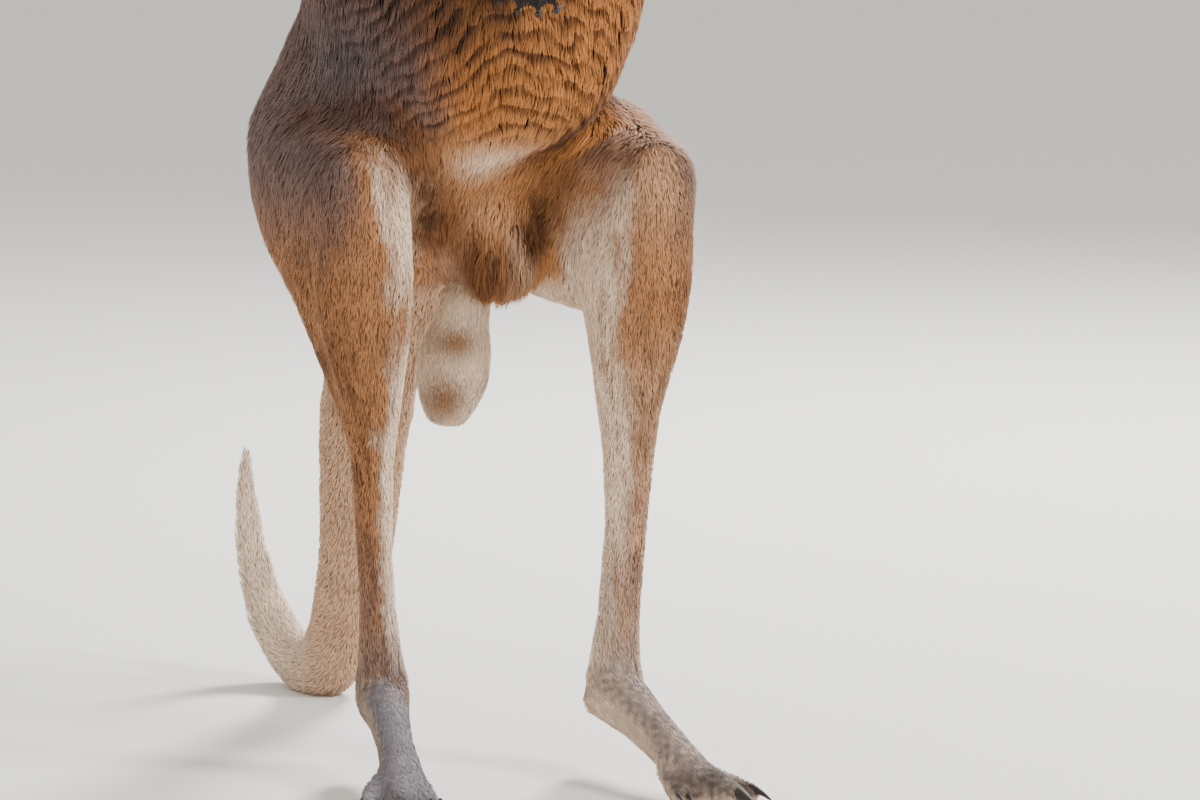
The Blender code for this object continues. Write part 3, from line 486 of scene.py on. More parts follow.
push -= 0.0042 * along_mouth * np.exp(-((off_line / 0.0017) ** 2))
push += 0.0016 * along_mouth * np.exp(-(((off_line - 0.0045) / 0.0040) ** 2))
push -= 0.0030 * along_mouth * ramp(off_line, -0.0008, -0.006) * ramp(ahead, 0.05, 0.12)
cleft = (ahead > nose_front - 0.02) & (up < PAD_UP - 0.004) & (up > mouth_up.min())
push -= 0.0018 * cleft * np.exp(-((side / 0.0014) ** 2))
co += normals * push[:, None]
skin.data.vertices.foreach_set("co", co.ravel())
skin.data.update()
only(skin)
bpy.ops.object.shade_smooth()
print("front of the nose", round(float(nose_front), 3), "ahead of the eyes")

# %% [markdown]
# ## Where the markings are and how the hair lies
# Everything the coat needs is worked out once, on the vertices of the hide: the
# colours as soft masks, the direction of the hair, and its length. The hide and
# the locks both read the same masks, so bare skin never shows a stranger's
# colour. The lie of the hair starts as one direction for each part, such as down
# the shin or back from the nose, and is averaged over the surface until the
# parts flow into each other, as hair does.

# %% Fields on the finished hide
places = read(skin.data.vertices, "co")
normals = read(skin.data.vertices, "normal")
edges = read(skin.data.edges, "vertices", 2, np.int32)
part = nearest_part(places)
kind = np.array(kind_of)[part]
is_part = {name: part == number for number, name in enumerate(flesh)}
share_of = {
    name: spread((kind == k).astype(float), edges, 14) for k, name in enumerate(kinds)
}


def middle(name):
    low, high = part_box(name)
    return np.array((low + high) / 2)


LIE = {
    "trunk": (0.0, 0.10, -1.0), "neck": (0.0, 0.25, -1.0), "scrotum": (0, 0, -1.0),
    "tail_base": middle("tail_middle") - middle("tail_base"),
    "tail_middle": middle("tail_bend") - middle("tail_base"),
    "tail_bend": (-0.06, 0.9, 0.15),
    "tail_tip": (0.02, 0.10, 1.0),
    "head": -head_ahead + np.array((0, 0, -0.12)),
}
for name, way in (("right", -1), ("left", 1)):
    LIE[f"thigh_{name}"] = (0.0, 0.22, -1.0)
    LIE[f"shin_{name}"] = middle(f"foot_{name}") - middle(f"thigh_{name}") + (0, 0.30, 0)
    LIE[f"foot_{name}"] = (way * 0.15, -1.0, -0.30)
    LIE[f"upper_arm_{name}"] = middle(f"forearm_{name}") - middle(f"upper_arm_{name}")
    LIE[f"forearm_{name}"] = middle(f"hand_{name}") - middle(f"upper_arm_{name}")
    LIE[f"hand_{name}"] = (0.0, -0.25, -1.0)
    LIE[f"ear_{name}"] = (way * 0.35, 0.0, 1.0)
lie = unit(np.array([LIE[name] for name in flesh], float))[part]

# the groin's hair streams down and in towards the middle line
x, y, z = places.T
groin = is_part["trunk"] * ramp(z, 0.72, 0.66) * ramp(y, -0.08, -0.16)
lie[:, 0] -= groin * np.clip((x + 0.005) / 0.05, -1, 1) * 0.75
# over the inner thighs it runs down and back, out of sight
for name, way in (("right", -1), ("left", 1)):
    front = is_part[f"thigh_{name}"] * ramp(-normals[:, 1], 0.1, 0.7)
    lie[:, 0] += front * way * 0.25


def on_surface(ways):
    return unit(ways - normals * (ways * normals).sum(1)[:, None])


lie = on_surface(lie)
for _ in range(8):
    lie = on_surface(spread(lie, edges, 6))
bearing = np.degrees(np.arctan2(normals[:, 0], -normals[:, 1]))
print("fields on", len(places), "vertices")


# %% Masks of the trunk, each between 0 and 1
def clear(mask):
    return np.clip(mask, 0, 1)


def spot(centre, radii):
    """1 at the centre of an ellipsoid, falling softly to 0 outside it."""
    return np.exp(-(((places - np.array(centre)) / np.array(radii)) ** 2).sum(1))


wander = drift(places, 0.05, 3)
fine_wander = drift(places, 0.016, 4)
clouds = 0.15 * wander + 0.08 * fine_wander
trunk = share_of["trunk"] + share_of["neck"] * 0.6
on_trunk = clear(trunk)
belly = on_trunk * ramp(bearing, -52, -18) * ramp(bearing, 105, 70) * ramp(z, 1.02, 0.86)
belly *= 1 - ramp(z, 0.88, 0.78) * ramp(bearing, 52, 84)
chest = on_trunk * ramp(bearing, -75, -30) * ramp(bearing, 80, 35) * ramp(z, 0.92, 1.02)

# rust in front; painted shade darkens it towards the right flank and most in the hollow above
# the hip
warm = clear(belly + 0.14 * ramp(trunk, 0.10, 0.60) * (1 - belly))
pale, tan, dark, slate, black = np.zeros((5, len(places)))
shaded = belly * ramp(z, 0.735, 0.85) * ramp(x + 0.03 * wander, 0.075, -0.10)
# painted shade over the upper right flank, on the side turned from the light
painted_shade_upper_right = on_trunk * ramp(bearing, -75, -45) * ramp(z, 0.76, 0.86) * ramp(z, 1.05, 0.92)
# a painted shadow, dark and cool, low on the right flank in the hollow above the hip
painted_shadow_low_flank = spot((-0.178, -0.200, 0.790), (0.060, 0.12, 0.050))
dark += shaded + 0.60 * painted_shade_upper_right * (1 - belly) + 0.20 * painted_shadow_low_flank
slate += 0.30 * painted_shadow_low_flank
black += 0.45 * painted_shadow_low_flank
tan += chest * 0.75 + 0.22 * belly * ramp(x, -0.10, 0.02)
pale += 0.80 * spot((-0.018, -0.262, 0.684), (0.048, 0.045, 0.020))
tan += 0.8 * spot((-0.012, -0.290, 0.698), (0.085, 0.050, 0.026))

# the groin: rusty in the middle, darkest in the tuft below; its sides get painted shade with
# the folds further on
in_groin = clear(share_of["trunk"]) * ramp(z, 0.69, 0.655) * ramp(y, -0.04, -0.10)
warm += in_groin * 0.5
tan += in_groin * 0.45
pale += 0.15 * spot((-0.016, -0.200, 0.622), (0.026, 0.05, 0.030))
streaks = ramp(drift(places * (1, 1, 0.35), 0.016, 21), -0.6, 0.7)
dark += 1.25 * (0.6 + 0.4 * streaks) * spot((-0.004, -0.190, 0.556), (0.028, 0.050, 0.040))
dark += 0.30 * spot((-0.022, -0.200, 0.600), (0.014, 0.03, 0.035))
pale += in_groin * 0.5 * spot((-0.042, -0.170, 0.553), (0.018, 0.05, 0.040))
pale += in_groin * 0.6 * spot((0.030, -0.170, 0.575), (0.016, 0.05, 0.034))
print("belly", round(belly.mean(), 3), "chest", round(chest.mean(), 3), "of the hide")

# %% Hind legs: cream within, tan in front, grey over the top and the outside
for name, way in (("right", -1), ("left", 1)):
    leg = clear(share_of["thigh"] + share_of["shin"]) * (x * way > 0)
    right = float(way < 0)
    inward = -way * normals[:, 0] + clouds
    # the flat inner side of the left thigh meets its front in a ridge: soften it
    softened = (1 - right) * ramp(z, 0.48, 0.58)
    ragged = inward + softened * (spread(inward, edges, 16) - inward)
    ragged += 0.16 * fine_wander + 0.08 * wander
    high_up = ramp(z, 0.55, 0.67)
    lower = (1 - right) * ramp(z, 0.52, 0.40)
    if right:
        pinch = 0.30 * ramp(np.abs(z - 0.505), 0.085, 0.02)
        inner = ramp(ragged, -0.04 + pinch, 0.70 + pinch)
        inner *= ramp(z + 0.015 * fine_wander, 0.715, 0.660)
    else:
        inner = ramp(ragged, 0.42 - 0.16 * lower - 0.04 * high_up, 1.10 - 0.10 * high_up)
    outer = leg * (1 - inner)
    over = ramp(z + 0.07 * clouds, 0.53, 0.70) * ramp(-inward, -0.10, 0.80)
    over *= 0.68 + 0.22 * right
    pale += leg * inner * (0.98 - (0.15 + 0.20 * (1 - right)) * high_up) + 0.20 * outer * lower
    warm += outer * 0.50 * (1 - over)
    tan += leg * inner * 0.35 + outer * 0.60 * (1 - 0.9 * over)
    slate += leg * over * 0.22
    dark += leg * over * (0.60 - 0.08 * right) * (1 + clouds)
    pale += outer * high_up * (1 - right) * 0.16 * (1 - over)
    mottle = ramp(0.5 * wander + fine_wander, -0.3, 0.8)
    dark += outer * mottle * 0.55 * ramp(z, 0.67, 0.48) * ramp(z, 0.10, 0.22)
    below = leg * ramp(-normals[:, 2], 0.25, 0.75) * ramp(z, 0.46, 0.52)
    pale += 0.6 * below
    dark *= 1 - 0.6 * below
    low_shin = leg * ramp(z, 0.34, 0.14)
    slate += low_shin * (0.20 + 0.10 * fine_wander)
    dark += outer * ramp(z, 0.34, 0.18) * 0.22 * right
dark += 0.35 * share_of["shin"] * ramp(z, 0.18, 0.12) * ramp(-normals[:, 1], 0.1, 0.6)
print("cream on the legs", round((share_of["shin"] * pale).mean(), 3))


# %% Painted shade in the folds between belly, groin and thighs
def along_line(start, end, reach):
    """1 on the line from start to end, fading to 0 at reach from it."""
    start, end = np.array(start), np.array(end)
    share = np.clip((places - start) @ (end - start) / ((end - start) ** 2).sum(), 0, 1)
    far = np.linalg.norm(places - start - share[:, None] * (end - start), axis=1)
    return ramp(far, reach, reach * 0.15)


SHADED_FOLDS = (
    # from, to, reach, how dark
    ((-0.114, -0.266, 0.700), (-0.060, -0.160, 0.600), 0.052, 1.00),
    ((0.094, -0.286, 0.740), (0.060, -0.240, 0.688), 0.034, 1.25),
    ((0.060, -0.235, 0.690), (0.049, -0.178, 0.596), 0.044, 1.40),
    ((-0.200, -0.150, 0.728), (-0.138, -0.268, 0.742), 0.038, 0.75),
)
# each fold is darkened with painted shade, streaked like the hair, with a little rust on the
# right
for start, end, reach, amount in SHADED_FOLDS:
    fold = along_line(start, end, reach) * (0.62 + 0.38 * streaks)
    pale *= 1 - 0.9 * fold
    slate *= 1 - 0.7 * fold
    warm += 0.45 * fold * ramp(x, -0.16, -0.12)
    dark += amount * fold
print(len(SHADED_FOLDS), "folds")

# %% Hind feet: slate above on the right, grey-brown on the left, pale at the sides
foot = clear(share_of["foot"] + share_of["shin"] * ramp(z, 0.175, 0.105))
on_top = ramp(0.8 * normals[:, 2] - 0.6 * normals[:, 1] + 0.6 * clouds, -0.10, 0.65)
right_foot = foot * (x < 0)
left_foot = foot * (x > 0)
past_ankle = ramp(-y - 0.8 * z + 0.03 * wander + 0.02 * fine_wander, 0.045, 0.185)
slate += right_foot * 0.85 * on_top * past_ankle + left_foot * 0.40 * on_top * past_ankle
dark += right_foot * (1 - past_ankle) * 0.45 * ramp(fine_wander, -0.6, 0.6)
speckle = drift(places, 0.011, 22)
dark += foot * on_top * 0.42 * ramp(speckle + 0.4 * fine_wander, 0.0, 0.9)
pale += foot * on_top * 0.30 * ramp(speckle, -0.15, -0.8)
tan += left_foot * 0.30 * on_top + right_foot * 0.25 * (1 - past_ankle)
pale += left_foot * 0.35 * on_top
dark += left_foot * 0.15 * on_top * ramp(wander + fine_wander, -0.4, 0.7)
pale += right_foot * 0.40 * (1 - on_top) + left_foot * 0.75 * (1 - on_top)
pale += 0.35 * foot * on_top * ramp(fine_wander, 0.2, 0.9) * ramp(y, -0.36, -0.28)
toes = foot * ramp(y, -0.37, -0.43)
black += 0.55 * toes * on_top
print("feet", round(foot.mean(), 3), "of the hide")

# %% Tail, scrotum, arms and hands
# the tail is buff, with a narrow dark line along the top, cream towards the tip
tail = clear(sum(share_of[k] for k in ("tail_base", "tail_middle", "tail_bend", "tail_tip")))
under = ramp(-normals[:, 1] + 0.25 * np.abs(normals[:, 0]) + 0.5 * clouds, -0.65, -0.10)
tip_part = clear(share_of["tail_tip"] + share_of["tail_bend"] * ramp(y, 0.30, 0.44))
tan += tail * (0.30 + 0.60 * under) * (1 - tip_part)
pale += tail * under * 0.30 * (1 - tip_part) + tip_part * 0.85
dark += tail * (1 - under) * 0.45 * (1 - tip_part)

# the scrotum is cream with two brown patches
sack = share_of["scrotum"]
pale += sack * 0.95
patched = sack * clear(spot((-0.031, -0.150, 0.469), (0.021, 0.05, 0.016))
                       + spot((-0.042, -0.140, 0.406), (0.022, 0.05, 0.028)))
pale -= patched * 0.8
tan += patched * 0.9
dark += patched * 0.45

# the arms are rusty, and the hands go over into black
hand = spread(share_of["hand"], edges, 90)
black += 0.88 * ramp(hand + 0.10 * fine_wander, 0.04, 0.80)
arm = clear(share_of["upper_arm"] + share_of["forearm"])
warm += arm * 0.45
tan += arm * 0.35
dark += share_of["forearm"] * 0.15 + 0.60 * ramp(hand, 0.0, 0.25) * (1 - hand)
print("tail", round(tail.mean(), 3), "hands", round(hand.mean(), 3), "of the hide")

# %% Head: grey and rust, a white stripe from the lip to the cheek, dark beside it
side, ahead, up = head_places(places).T
head = clear(share_of["head"])
head_wide = spread(head, edges, 120)
nape = ramp(head_wide, 1.0, 0.5) * head
warm += head * 0.35 * ramp(up, -0.02, 0.03) + 0.40 * nape
tan += 0.20 * nape
slate += 0.16 * (1 - head) * ramp(head_wide, 0.0, 0.5)
slate += head * 0.25 * ramp(ahead, 0.04, 0.13)
stripe_up = -0.046 + 0.030 * ramp(ahead, 0.07, -0.03)
stripe = head * np.exp(-(((up - stripe_up) / 0.009) ** 2)) * ramp(np.abs(side), 0.010, 0.024)
stripe *= ramp(ahead, -0.045, -0.01) * ramp(ahead, nose_front + 0.004, nose_front - 0.02)
pale += 0.95 * stripe + head * 0.75 * ramp(up, -0.062, -0.078)
whisker_bed = head * np.exp(-(((up + 0.036) / 0.010) ** 2)) * ramp(np.abs(side), 0.010, 0.022)
dark += whisker_bed * 0.75 * ramp(ahead, 0.085, 0.115) * (1 - clear(stripe * 1.3))
from_pad = np.abs(side / 0.0225) ** 2.6 + np.abs((up - PAD_UP + 0.002) / 0.0165) ** 2.6
pad = head * ramp(ahead, nose_front - 0.036, nose_front - 0.022)
pad = clear(pad * ramp(from_pad, 1.25, 0.75))
off_line = (up - mouth_height(ahead)) / 0.0022
lip = head * np.exp(-(off_line ** 2)) * ramp(ahead, 0.045, 0.065)
black = clear(black + pad + lip * 0.9)
eye_far = np.minimum(
    np.linalg.norm(places - np.array(eye_right), axis=1),
    np.linalg.norm(places - np.array(eye_left), axis=1))
rim = lid_rim * head
black = clear(black + rim * 0.9)
dark += 0.5 * head * ramp(eye_far, EYE_RADIUS * 1.9, EYE_RADIUS * 1.2) * (1 - rim)
ear = share_of["ear"]
ear_front = ramp(-normals[:, 1], -0.50, 0.10)
pale += ear * ear_front * 0.65
dark += ear * (1 - ear_front) * 0.35
bare = clear(pad + lip + rim * 0.8)
print("bare skin", round(bare.mean(), 4), "of the hide")

# %% Rows of long hair on the belly, each with dark roots and a painted shadow where the row above ends
ROW_STEP = 0.0215       # height from row to row


def rows_at(spots):
    """A count of rows that grows upwards, wavy, and hanging in the middle."""
    count = spots[:, 2] / ROW_STEP
    count = count + 0.45 * drift(spots, 0.12, 11) + 0.24 * drift(spots, 0.035, 12)
    return count + 2.2 * (spots[:, 0] + 0.01) ** 2 / 0.01


ripple = on_trunk * ramp(z, 0.700, 0.730) * ramp(bearing, -100, -60) * ramp(bearing, 90, 62)
dashes = ramp(drift(places * (1, 1, 2.0), 0.028, 13), -0.50, 0.30)
ripple *= ramp(z, 1.05, 0.95) * (0.15 + 0.85 * dashes)
print("rows", round(rows_at(places).max() - rows_at(places).min()))

# %% Store the masks on the hide
MASKS = {
    "warm": warm, "tan": tan, "pale": pale, "dark": dark,
    "slate": slate, "black": black, "ripple": ripple,
}
MASKS = {name: clear(values) for name, values in MASKS.items()}
for name, values in MASKS.items():
    put(skin.data, name, values)
put(skin.data, "rows", rows_at(places))
put(skin.data, "tip", np.full(len(places), 0.55))
put(skin.data, "lock", np.full(len(places), 0.5))
print({name: round(float(values.mean()), 3) for name, values in MASKS.items()})

# %% [markdown]
# ## Colours
# A hair of this animal is dark at the root and lighter towards the tip, so every
# colour of the coat is a pair. One node group mixes the pairs by the masks, goes
# from root to tip colour along the lock, and varies each lock a little. The hide
# and all pieces of the coat use the same group with their own settings.

# %% The colours of the hair
HAIR = {
    # mask: colour at the root, colour at the tip
    # the flank colour, under all the others, is the grey-brown coat made darker and cooler
    # with painted shade
    "flank": ((0.044, 0.030, 0.030), (0.122, 0.087, 0.089)),
    "warm": ((0.195, 0.062, 0.014), (0.510, 0.188, 0.045)),
    "tan": ((0.240, 0.096, 0.034), (0.510, 0.228, 0.084)),
    "pale": ((0.770, 0.560, 0.390), (0.970, 0.740, 0.540)),
    "dark": ((0.042, 0.016, 0.006), (0.118, 0.048, 0.016)),
    "slate": ((0.130, 0.116, 0.128), (0.310, 0.285, 0.312)),
    "black": ((0.005, 0.004, 0.003), (0.016, 0.012, 0.010)),
}


# %% Small building blocks for materials
def feed(tree, socket, value):
    """Links a socket to another one, or sets it to a constant."""
    if isinstance(value, bpy.types.NodeSocket):
        tree.links.new(value, socket)
    else:
        socket.default_value = value


def math_node(tree, operation, first, second=0.5):
    node = tree.nodes.new("ShaderNodeMath")
    node.operation = operation
    feed(tree, node.inputs[0], first)
    feed(tree, node.inputs[1], second)
    return node.outputs[0]


def mixed_colour(tree, factor, first, second, kind="MIX"):
    """A mix of two colours, each a socket or a constant."""
    node = tree.nodes.new("ShaderNodeMix")
    node.data_type, node.blend_type = "RGBA", kind
    colours = [socket for socket in node.inputs if socket.type == "RGBA"]
    feed(tree, node.inputs["Factor"], factor)
    feed(tree, colours[0], first)
    feed(tree, colours[1], second)
    return next(socket for socket in node.outputs if socket.type == "RGBA")


def attribute_value(tree, name):
    node = tree.nodes.new("ShaderNodeAttribute")
    node.attribute_name = name
    return node.outputs["Fac"]


def soft_step(tree, value, low, high):
    """The soft rise of ramp, as a node."""
    node = tree.nodes.new("ShaderNodeMapRange")
    node.interpolation_type = "SMOOTHSTEP"
    node.inputs["From Min"].default_value = min(low, high)
    node.inputs["From Max"].default_value = max(low, high)
    node.inputs["To Min"].default_value = float(low > high)
    node.inputs["To Max"].default_value = float(low < high)
    tree.links.new(value, node.inputs["Value"])
    return node.outputs[0]


def noise(tree, scale, detail):
    """Noise over the object's own places, between 0 and 1."""
    node = tree.nodes.new("ShaderNodeTexNoise")
    where = tree.nodes.new("ShaderNodeTexCoord").outputs["Object"]
    tree.links.new(where, node.inputs["Vector"])
    feed(tree, node.inputs["Scale"], scale)
    node.inputs["Detail"].default_value = detail
    return node.outputs["Fac"]


def emboss(tree, height, strength, distance):
    """Raises the surface of a material by a height, as a bump."""
    bump = tree.nodes.new("ShaderNodeBump")
    bump.inputs["Strength"].default_value = strength
    bump.inputs["Distance"].default_value = distance
    tree.links.new(height, bump.inputs["Height"])
    tree.links.new(bump.outputs["Normal"], tree.nodes["Principled BSDF"].inputs["Normal"])


def colours_along(tree, value, stops):
    """A colour ramp over value, from a table of places and colours."""
    node = tree.nodes.new("ShaderNodeValToRGB")
    elements = node.color_ramp.elements
    elements[0].position, elements[1].position = stops[0][0], stops[-1][0]
    for place, _ in stops[1:-1]:
        elements.new(place)
    for element, (_, colour) in zip(elements, stops):
        element.color = (*colour, 1)
    tree.links.new(value, node.inputs["Fac"])
    return node.outputs["Color"]


def new_material(name, looks):
    """A material with the constants in looks: itself, its tree, its colour input."""
    made = bpy.data.materials.new(name)
    made.use_nodes = True
    shader = made.node_tree.nodes["Principled BSDF"]
    for label, value in looks.items():
        shader.inputs[label].default_value = value
    return made, made.node_tree, shader.inputs["Base Color"]


# %% The colour group
STRAND_DEPTH, PATCH_DEPTH = 0.8, 0.5    # how much single hairs and patches vary
PATCH_SCALE = 26.0
LOCK_LIGHT = 0.36                       # how much one lock differs from the next
# in each row's band the colour goes towards the root's, and painted shadow from the row above
# darkens it further
ROW_SHADE, ROW_PAINTED_SHADOW = 0.45, 0.56        # towards the root's colour, and darker

coat_colours = bpy.data.node_groups.new("coat_colours", "ShaderNodeTree")
for label, way, kind_of_value in (
        ("Brightness", "INPUT", "Float"), ("Strand size", "INPUT", "Float"),
        ("Colour", "OUTPUT", "Color"), ("Height", "OUTPUT", "Float")):
    coat_colours.interface.new_socket(
        label, in_out=way, socket_type="NodeSocket" + kind_of_value)
entry = coat_colours.nodes.new("NodeGroupInput")
leave = coat_colours.nodes.new("NodeGroupOutput")


def calc(operation, first, second=0.5):
    return math_node(coat_colours, operation, first, second)


ends = []
for end in (0, 1):
    colour = (*HAIR["flank"][end], 1)
    for name in list(HAIR)[1:]:
        share = attribute_value(coat_colours, name)
        colour = mixed_colour(coat_colours, share, colour, (*HAIR[name][end], 1))
    ends.append(colour)

strands = noise(coat_colours, entry.outputs["Strand size"], 3.0)
patches = noise(coat_colours, PATCH_SCALE, 2.0)
along = calc("ADD", attribute_value(coat_colours, "tip"),
             calc("MULTIPLY", calc("SUBTRACT", strands, 0.5), STRAND_DEPTH))
in_row = calc("FRACT", attribute_value(coat_colours, "rows"))
band = calc("MULTIPLY", soft_step(coat_colours, in_row, 0.28, 0.84),
            soft_step(coat_colours, in_row, 1.0, 0.92))
band = calc("MULTIPLY", band, attribute_value(coat_colours, "ripple"))
clamp = coat_colours.nodes.new("ShaderNodeClamp")
feed(coat_colours, clamp.inputs["Value"],
     calc("SUBTRACT", along, calc("MULTIPLY", band, ROW_SHADE)))
hair = mixed_colour(coat_colours, clamp.outputs[0], *ends)

light = calc("ADD", 0.78, calc("MULTIPLY", attribute_value(coat_colours, "lock"), LOCK_LIGHT))
light = calc("ADD", light, calc("MULTIPLY", calc("SUBTRACT", patches, 0.5), PATCH_DEPTH))
# painted shadow under the end of the row above
light = calc("MULTIPLY", light, calc("SUBTRACT", 1.0, calc("MULTIPLY", band, ROW_PAINTED_SHADOW)))
light = calc("MULTIPLY", light, entry.outputs["Brightness"])
feed(coat_colours, leave.inputs["Colour"],
     mixed_colour(coat_colours, 1.0, hair, light, "MULTIPLY"))
feed(coat_colours, leave.inputs["Height"], strands)
print("colour group with", len(coat_colours.nodes), "nodes")


# %% The materials that use it
def coat_material(name, brightness, strand_size, roughness, bump, sheen):
    made, tree, colour_input = new_material(name, {
        "Roughness": roughness, "Specular IOR Level": 0.14,
        "Sheen Weight": sheen, "Sheen Roughness": 0.5})
    group = tree.nodes.new("ShaderNodeGroup")
    group.node_tree = coat_colours
    group.inputs["Brightness"].default_value = brightness
    group.inputs["Strand size"].default_value = strand_size
    tree.links.new(group.outputs["Colour"], colour_input)
    emboss(tree, group.outputs["Height"], bump, 0.0006)
    return made


hair_coat = coat_material("hair_coat", 1.03, 700.0, 0.66, 0.25, 0.06)
hide_coat = coat_material("hide_under_hair", 0.97, 420.0, 0.75, 0.6, 0.05)
skin.data.materials.append(hide_coat)
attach(skin, "root")
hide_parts(*flesh)
print("the hide stands for", len(flesh), "solids")

# %% [markdown]
# ## The coat
# Each lock is a small closed body: a slim three-sided spindle that leaves the
# hide at a point, bends over where it is thickest and runs out to a point along
# the lie of the hair. Thousands are built at once from arrays. Neighbours lean
# towards a common point, which is what makes real hair gather into locks, and
# the rows on the belly lift where one layer ends and the next begins.

# %% Where the locks stand
LOWER_BODY = 0.92       # the height of its upper end, in metres
tris = read(skin.data.polygons, "vertices", 3, np.int32)
corner_places = places[tris]
square_on = np.cross(corner_places[:, 1] - corner_places[:, 0],
                     corner_places[:, 2] - corner_places[:, 0])
area = np.linalg.norm(square_on, axis=1) / 2
per_cm2 = spread(table[kind, 4], edges, 10)
lengths, widths, rises = (spread(table[kind, column], edges, 30) for column in (2, 3, 1))
# the hair is shortest at the nose and the lids and grows towards the cheek
side, ahead, up = head_places(places).T
short = head * ramp(ahead, -0.02, nose_front - 0.01)
short = np.maximum(short, head * ramp(eye_far, EYE_RADIUS * 2.2, EYE_RADIUS * 1.2))
lengths *= 1 - 0.55 * short
rises *= 1 - 0.55 * short
widths *= 1 - 0.25 * short
centres = corner_places.mean(1)
face_normals = unit(square_on)
face_part = part[tris[:, 0]]
cx, _, cz = centres.T
face_bearing = bearing[tris].mean(1)
# the coat is fullest on the front of the lower body, and short hair stands closer
faces_front = ramp(-face_normals[:, 1] - 0.3 * face_normals[:, 0], -0.35, 0.15)
low_front = np.where(cz < LOWER_BODY, faces_front, 0)
density = per_cm2[tris].mean(1) * 1e4 * (0.70 + 1.10 * low_front)
density *= 1 + 0.5 * short[tris].mean(1)
density *= 1 - bare[tris].max(1)
print("skin to cover, square metres", round(area.sum(), 2))

# %% The pieces of the coat
named = {name: face_part == number for number, name in enumerate(flesh)}


def any_of(*starts):
    return np.logical_or.reduce([
        named[name] for name in flesh if name.startswith(starts)])


in_trunk = named["trunk"]
front_half = np.abs(face_bearing) < 95
low_half = cz < LOWER_BODY
REGIONS = {
    "coat_belly_right": in_trunk & front_half & low_half & (cx < -0.02),
    "coat_belly_left": in_trunk & front_half & low_half & (cx >= -0.02),
    "coat_chest": in_trunk & front_half & ~low_half,
    "coat_back_low": in_trunk & ~front_half & low_half,
    "coat_back_high": in_trunk & ~front_half & ~low_half,
    "coat_neck": any_of("neck"),
    "coat_head": any_of("head", "ear_"),
    "coat_arms": any_of("upper_arm", "forearm", "hand_"),
    "coat_leg_right": named["thigh_right"] | named["shin_right"],
    "coat_leg_left": named["thigh_left"] | named["shin_left"],
    "coat_feet": any_of("foot_", "scrotum"),
    "coat_tail": any_of("tail_"),
}
COAT_LOCKS, PIECE_LOCKS = 243_000, 33_000
wanted = {name: float((density * area)[chosen].sum()) for name, chosen in REGIONS.items()}
fair = min(1.0, COAT_LOCKS / sum(min(count, PIECE_LOCKS) for count in wanted.values()))
density *= fair
print({name: round(count * fair) for name, count in wanted.items()})


# %% Building locks from arrays
def sprinkle(chosen, dice):
    """Random roots on the chosen faces: face, and share of each corner."""
    faces_in = np.flatnonzero(chosen)
    chance = (density * area)[faces_in]
    count = int(min(chance.sum(), PIECE_LOCKS))
    picked = faces_in[np.searchsorted(
        np.cumsum(chance), dice.uniform(0, chance.sum(), count)).clip(0, len(faces_in) - 1)]
    first, second = dice.random(count), dice.random(count)
    over = first + second > 1
    first[over], second[over] = 1 - first[over], 1 - second[over]
    return picked, np.stack([1 - first - second, first, second], axis=1)


def at_roots(values, picked, shares):
    mixed = values[tris[picked]]
    weights = shares if values.ndim == 1 else shares[:, :, None]
    return (mixed * weights).sum(1)


def to_leader(roots, tips, size, dice):
    """The way from each tip to the tip of a chosen neighbour, so that locks form."""
    leaders = dice.choice(len(roots), max(1, int(len(roots) / size)), replace=False)
    tree = KDTree(len(leaders))
    for number, leader in enumerate(leaders):
        tree.insert(roots[leader], number)
    tree.balance()
    nearest = np.array([tree.find(root)[1] for root in roots])
    return tips[leaders[nearest]] - tips


def object_of(name, points, triangles):
    """An object whose mesh is made of arrays in one go."""
    mesh = bpy.data.meshes.new(name)
    mesh.vertices.add(points.size // 3)
    mesh.vertices.foreach_set("co", points.astype(np.float32).ravel())
    mesh.loops.add(triangles.size)
    mesh.loops.foreach_set("vertex_index", triangles.astype(np.int32).ravel())
    mesh.polygons.add(len(triangles))
    mesh.polygons.foreach_set("loop_start", np.arange(0, triangles.size, 3, dtype=np.int32))
    mesh.update(calc_edges=True)
    mesh.validate()
    made = bpy.data.objects.new(name, mesh)
    bpy.context.scene.collection.objects.link(made)
    return made


# %% Growing one piece of the coat
BELLY_AT = 0.40         # where along its length a lock is thickest
ROW_RELIEF = 0.0030     # how far the lower edge of a row stands off the belly
LONGER, WIDER, HIGHER = (0.75, 1.25), (0.65, 1.25), (0.45, 1.05)  # how locks vary
GATHER = 9              # locks that lean together
SPINDLE = np.array([(1, 2, 0), (2, 3, 0), (3, 1, 0), (1, 4, 2), (2, 4, 3), (3, 4, 1)])


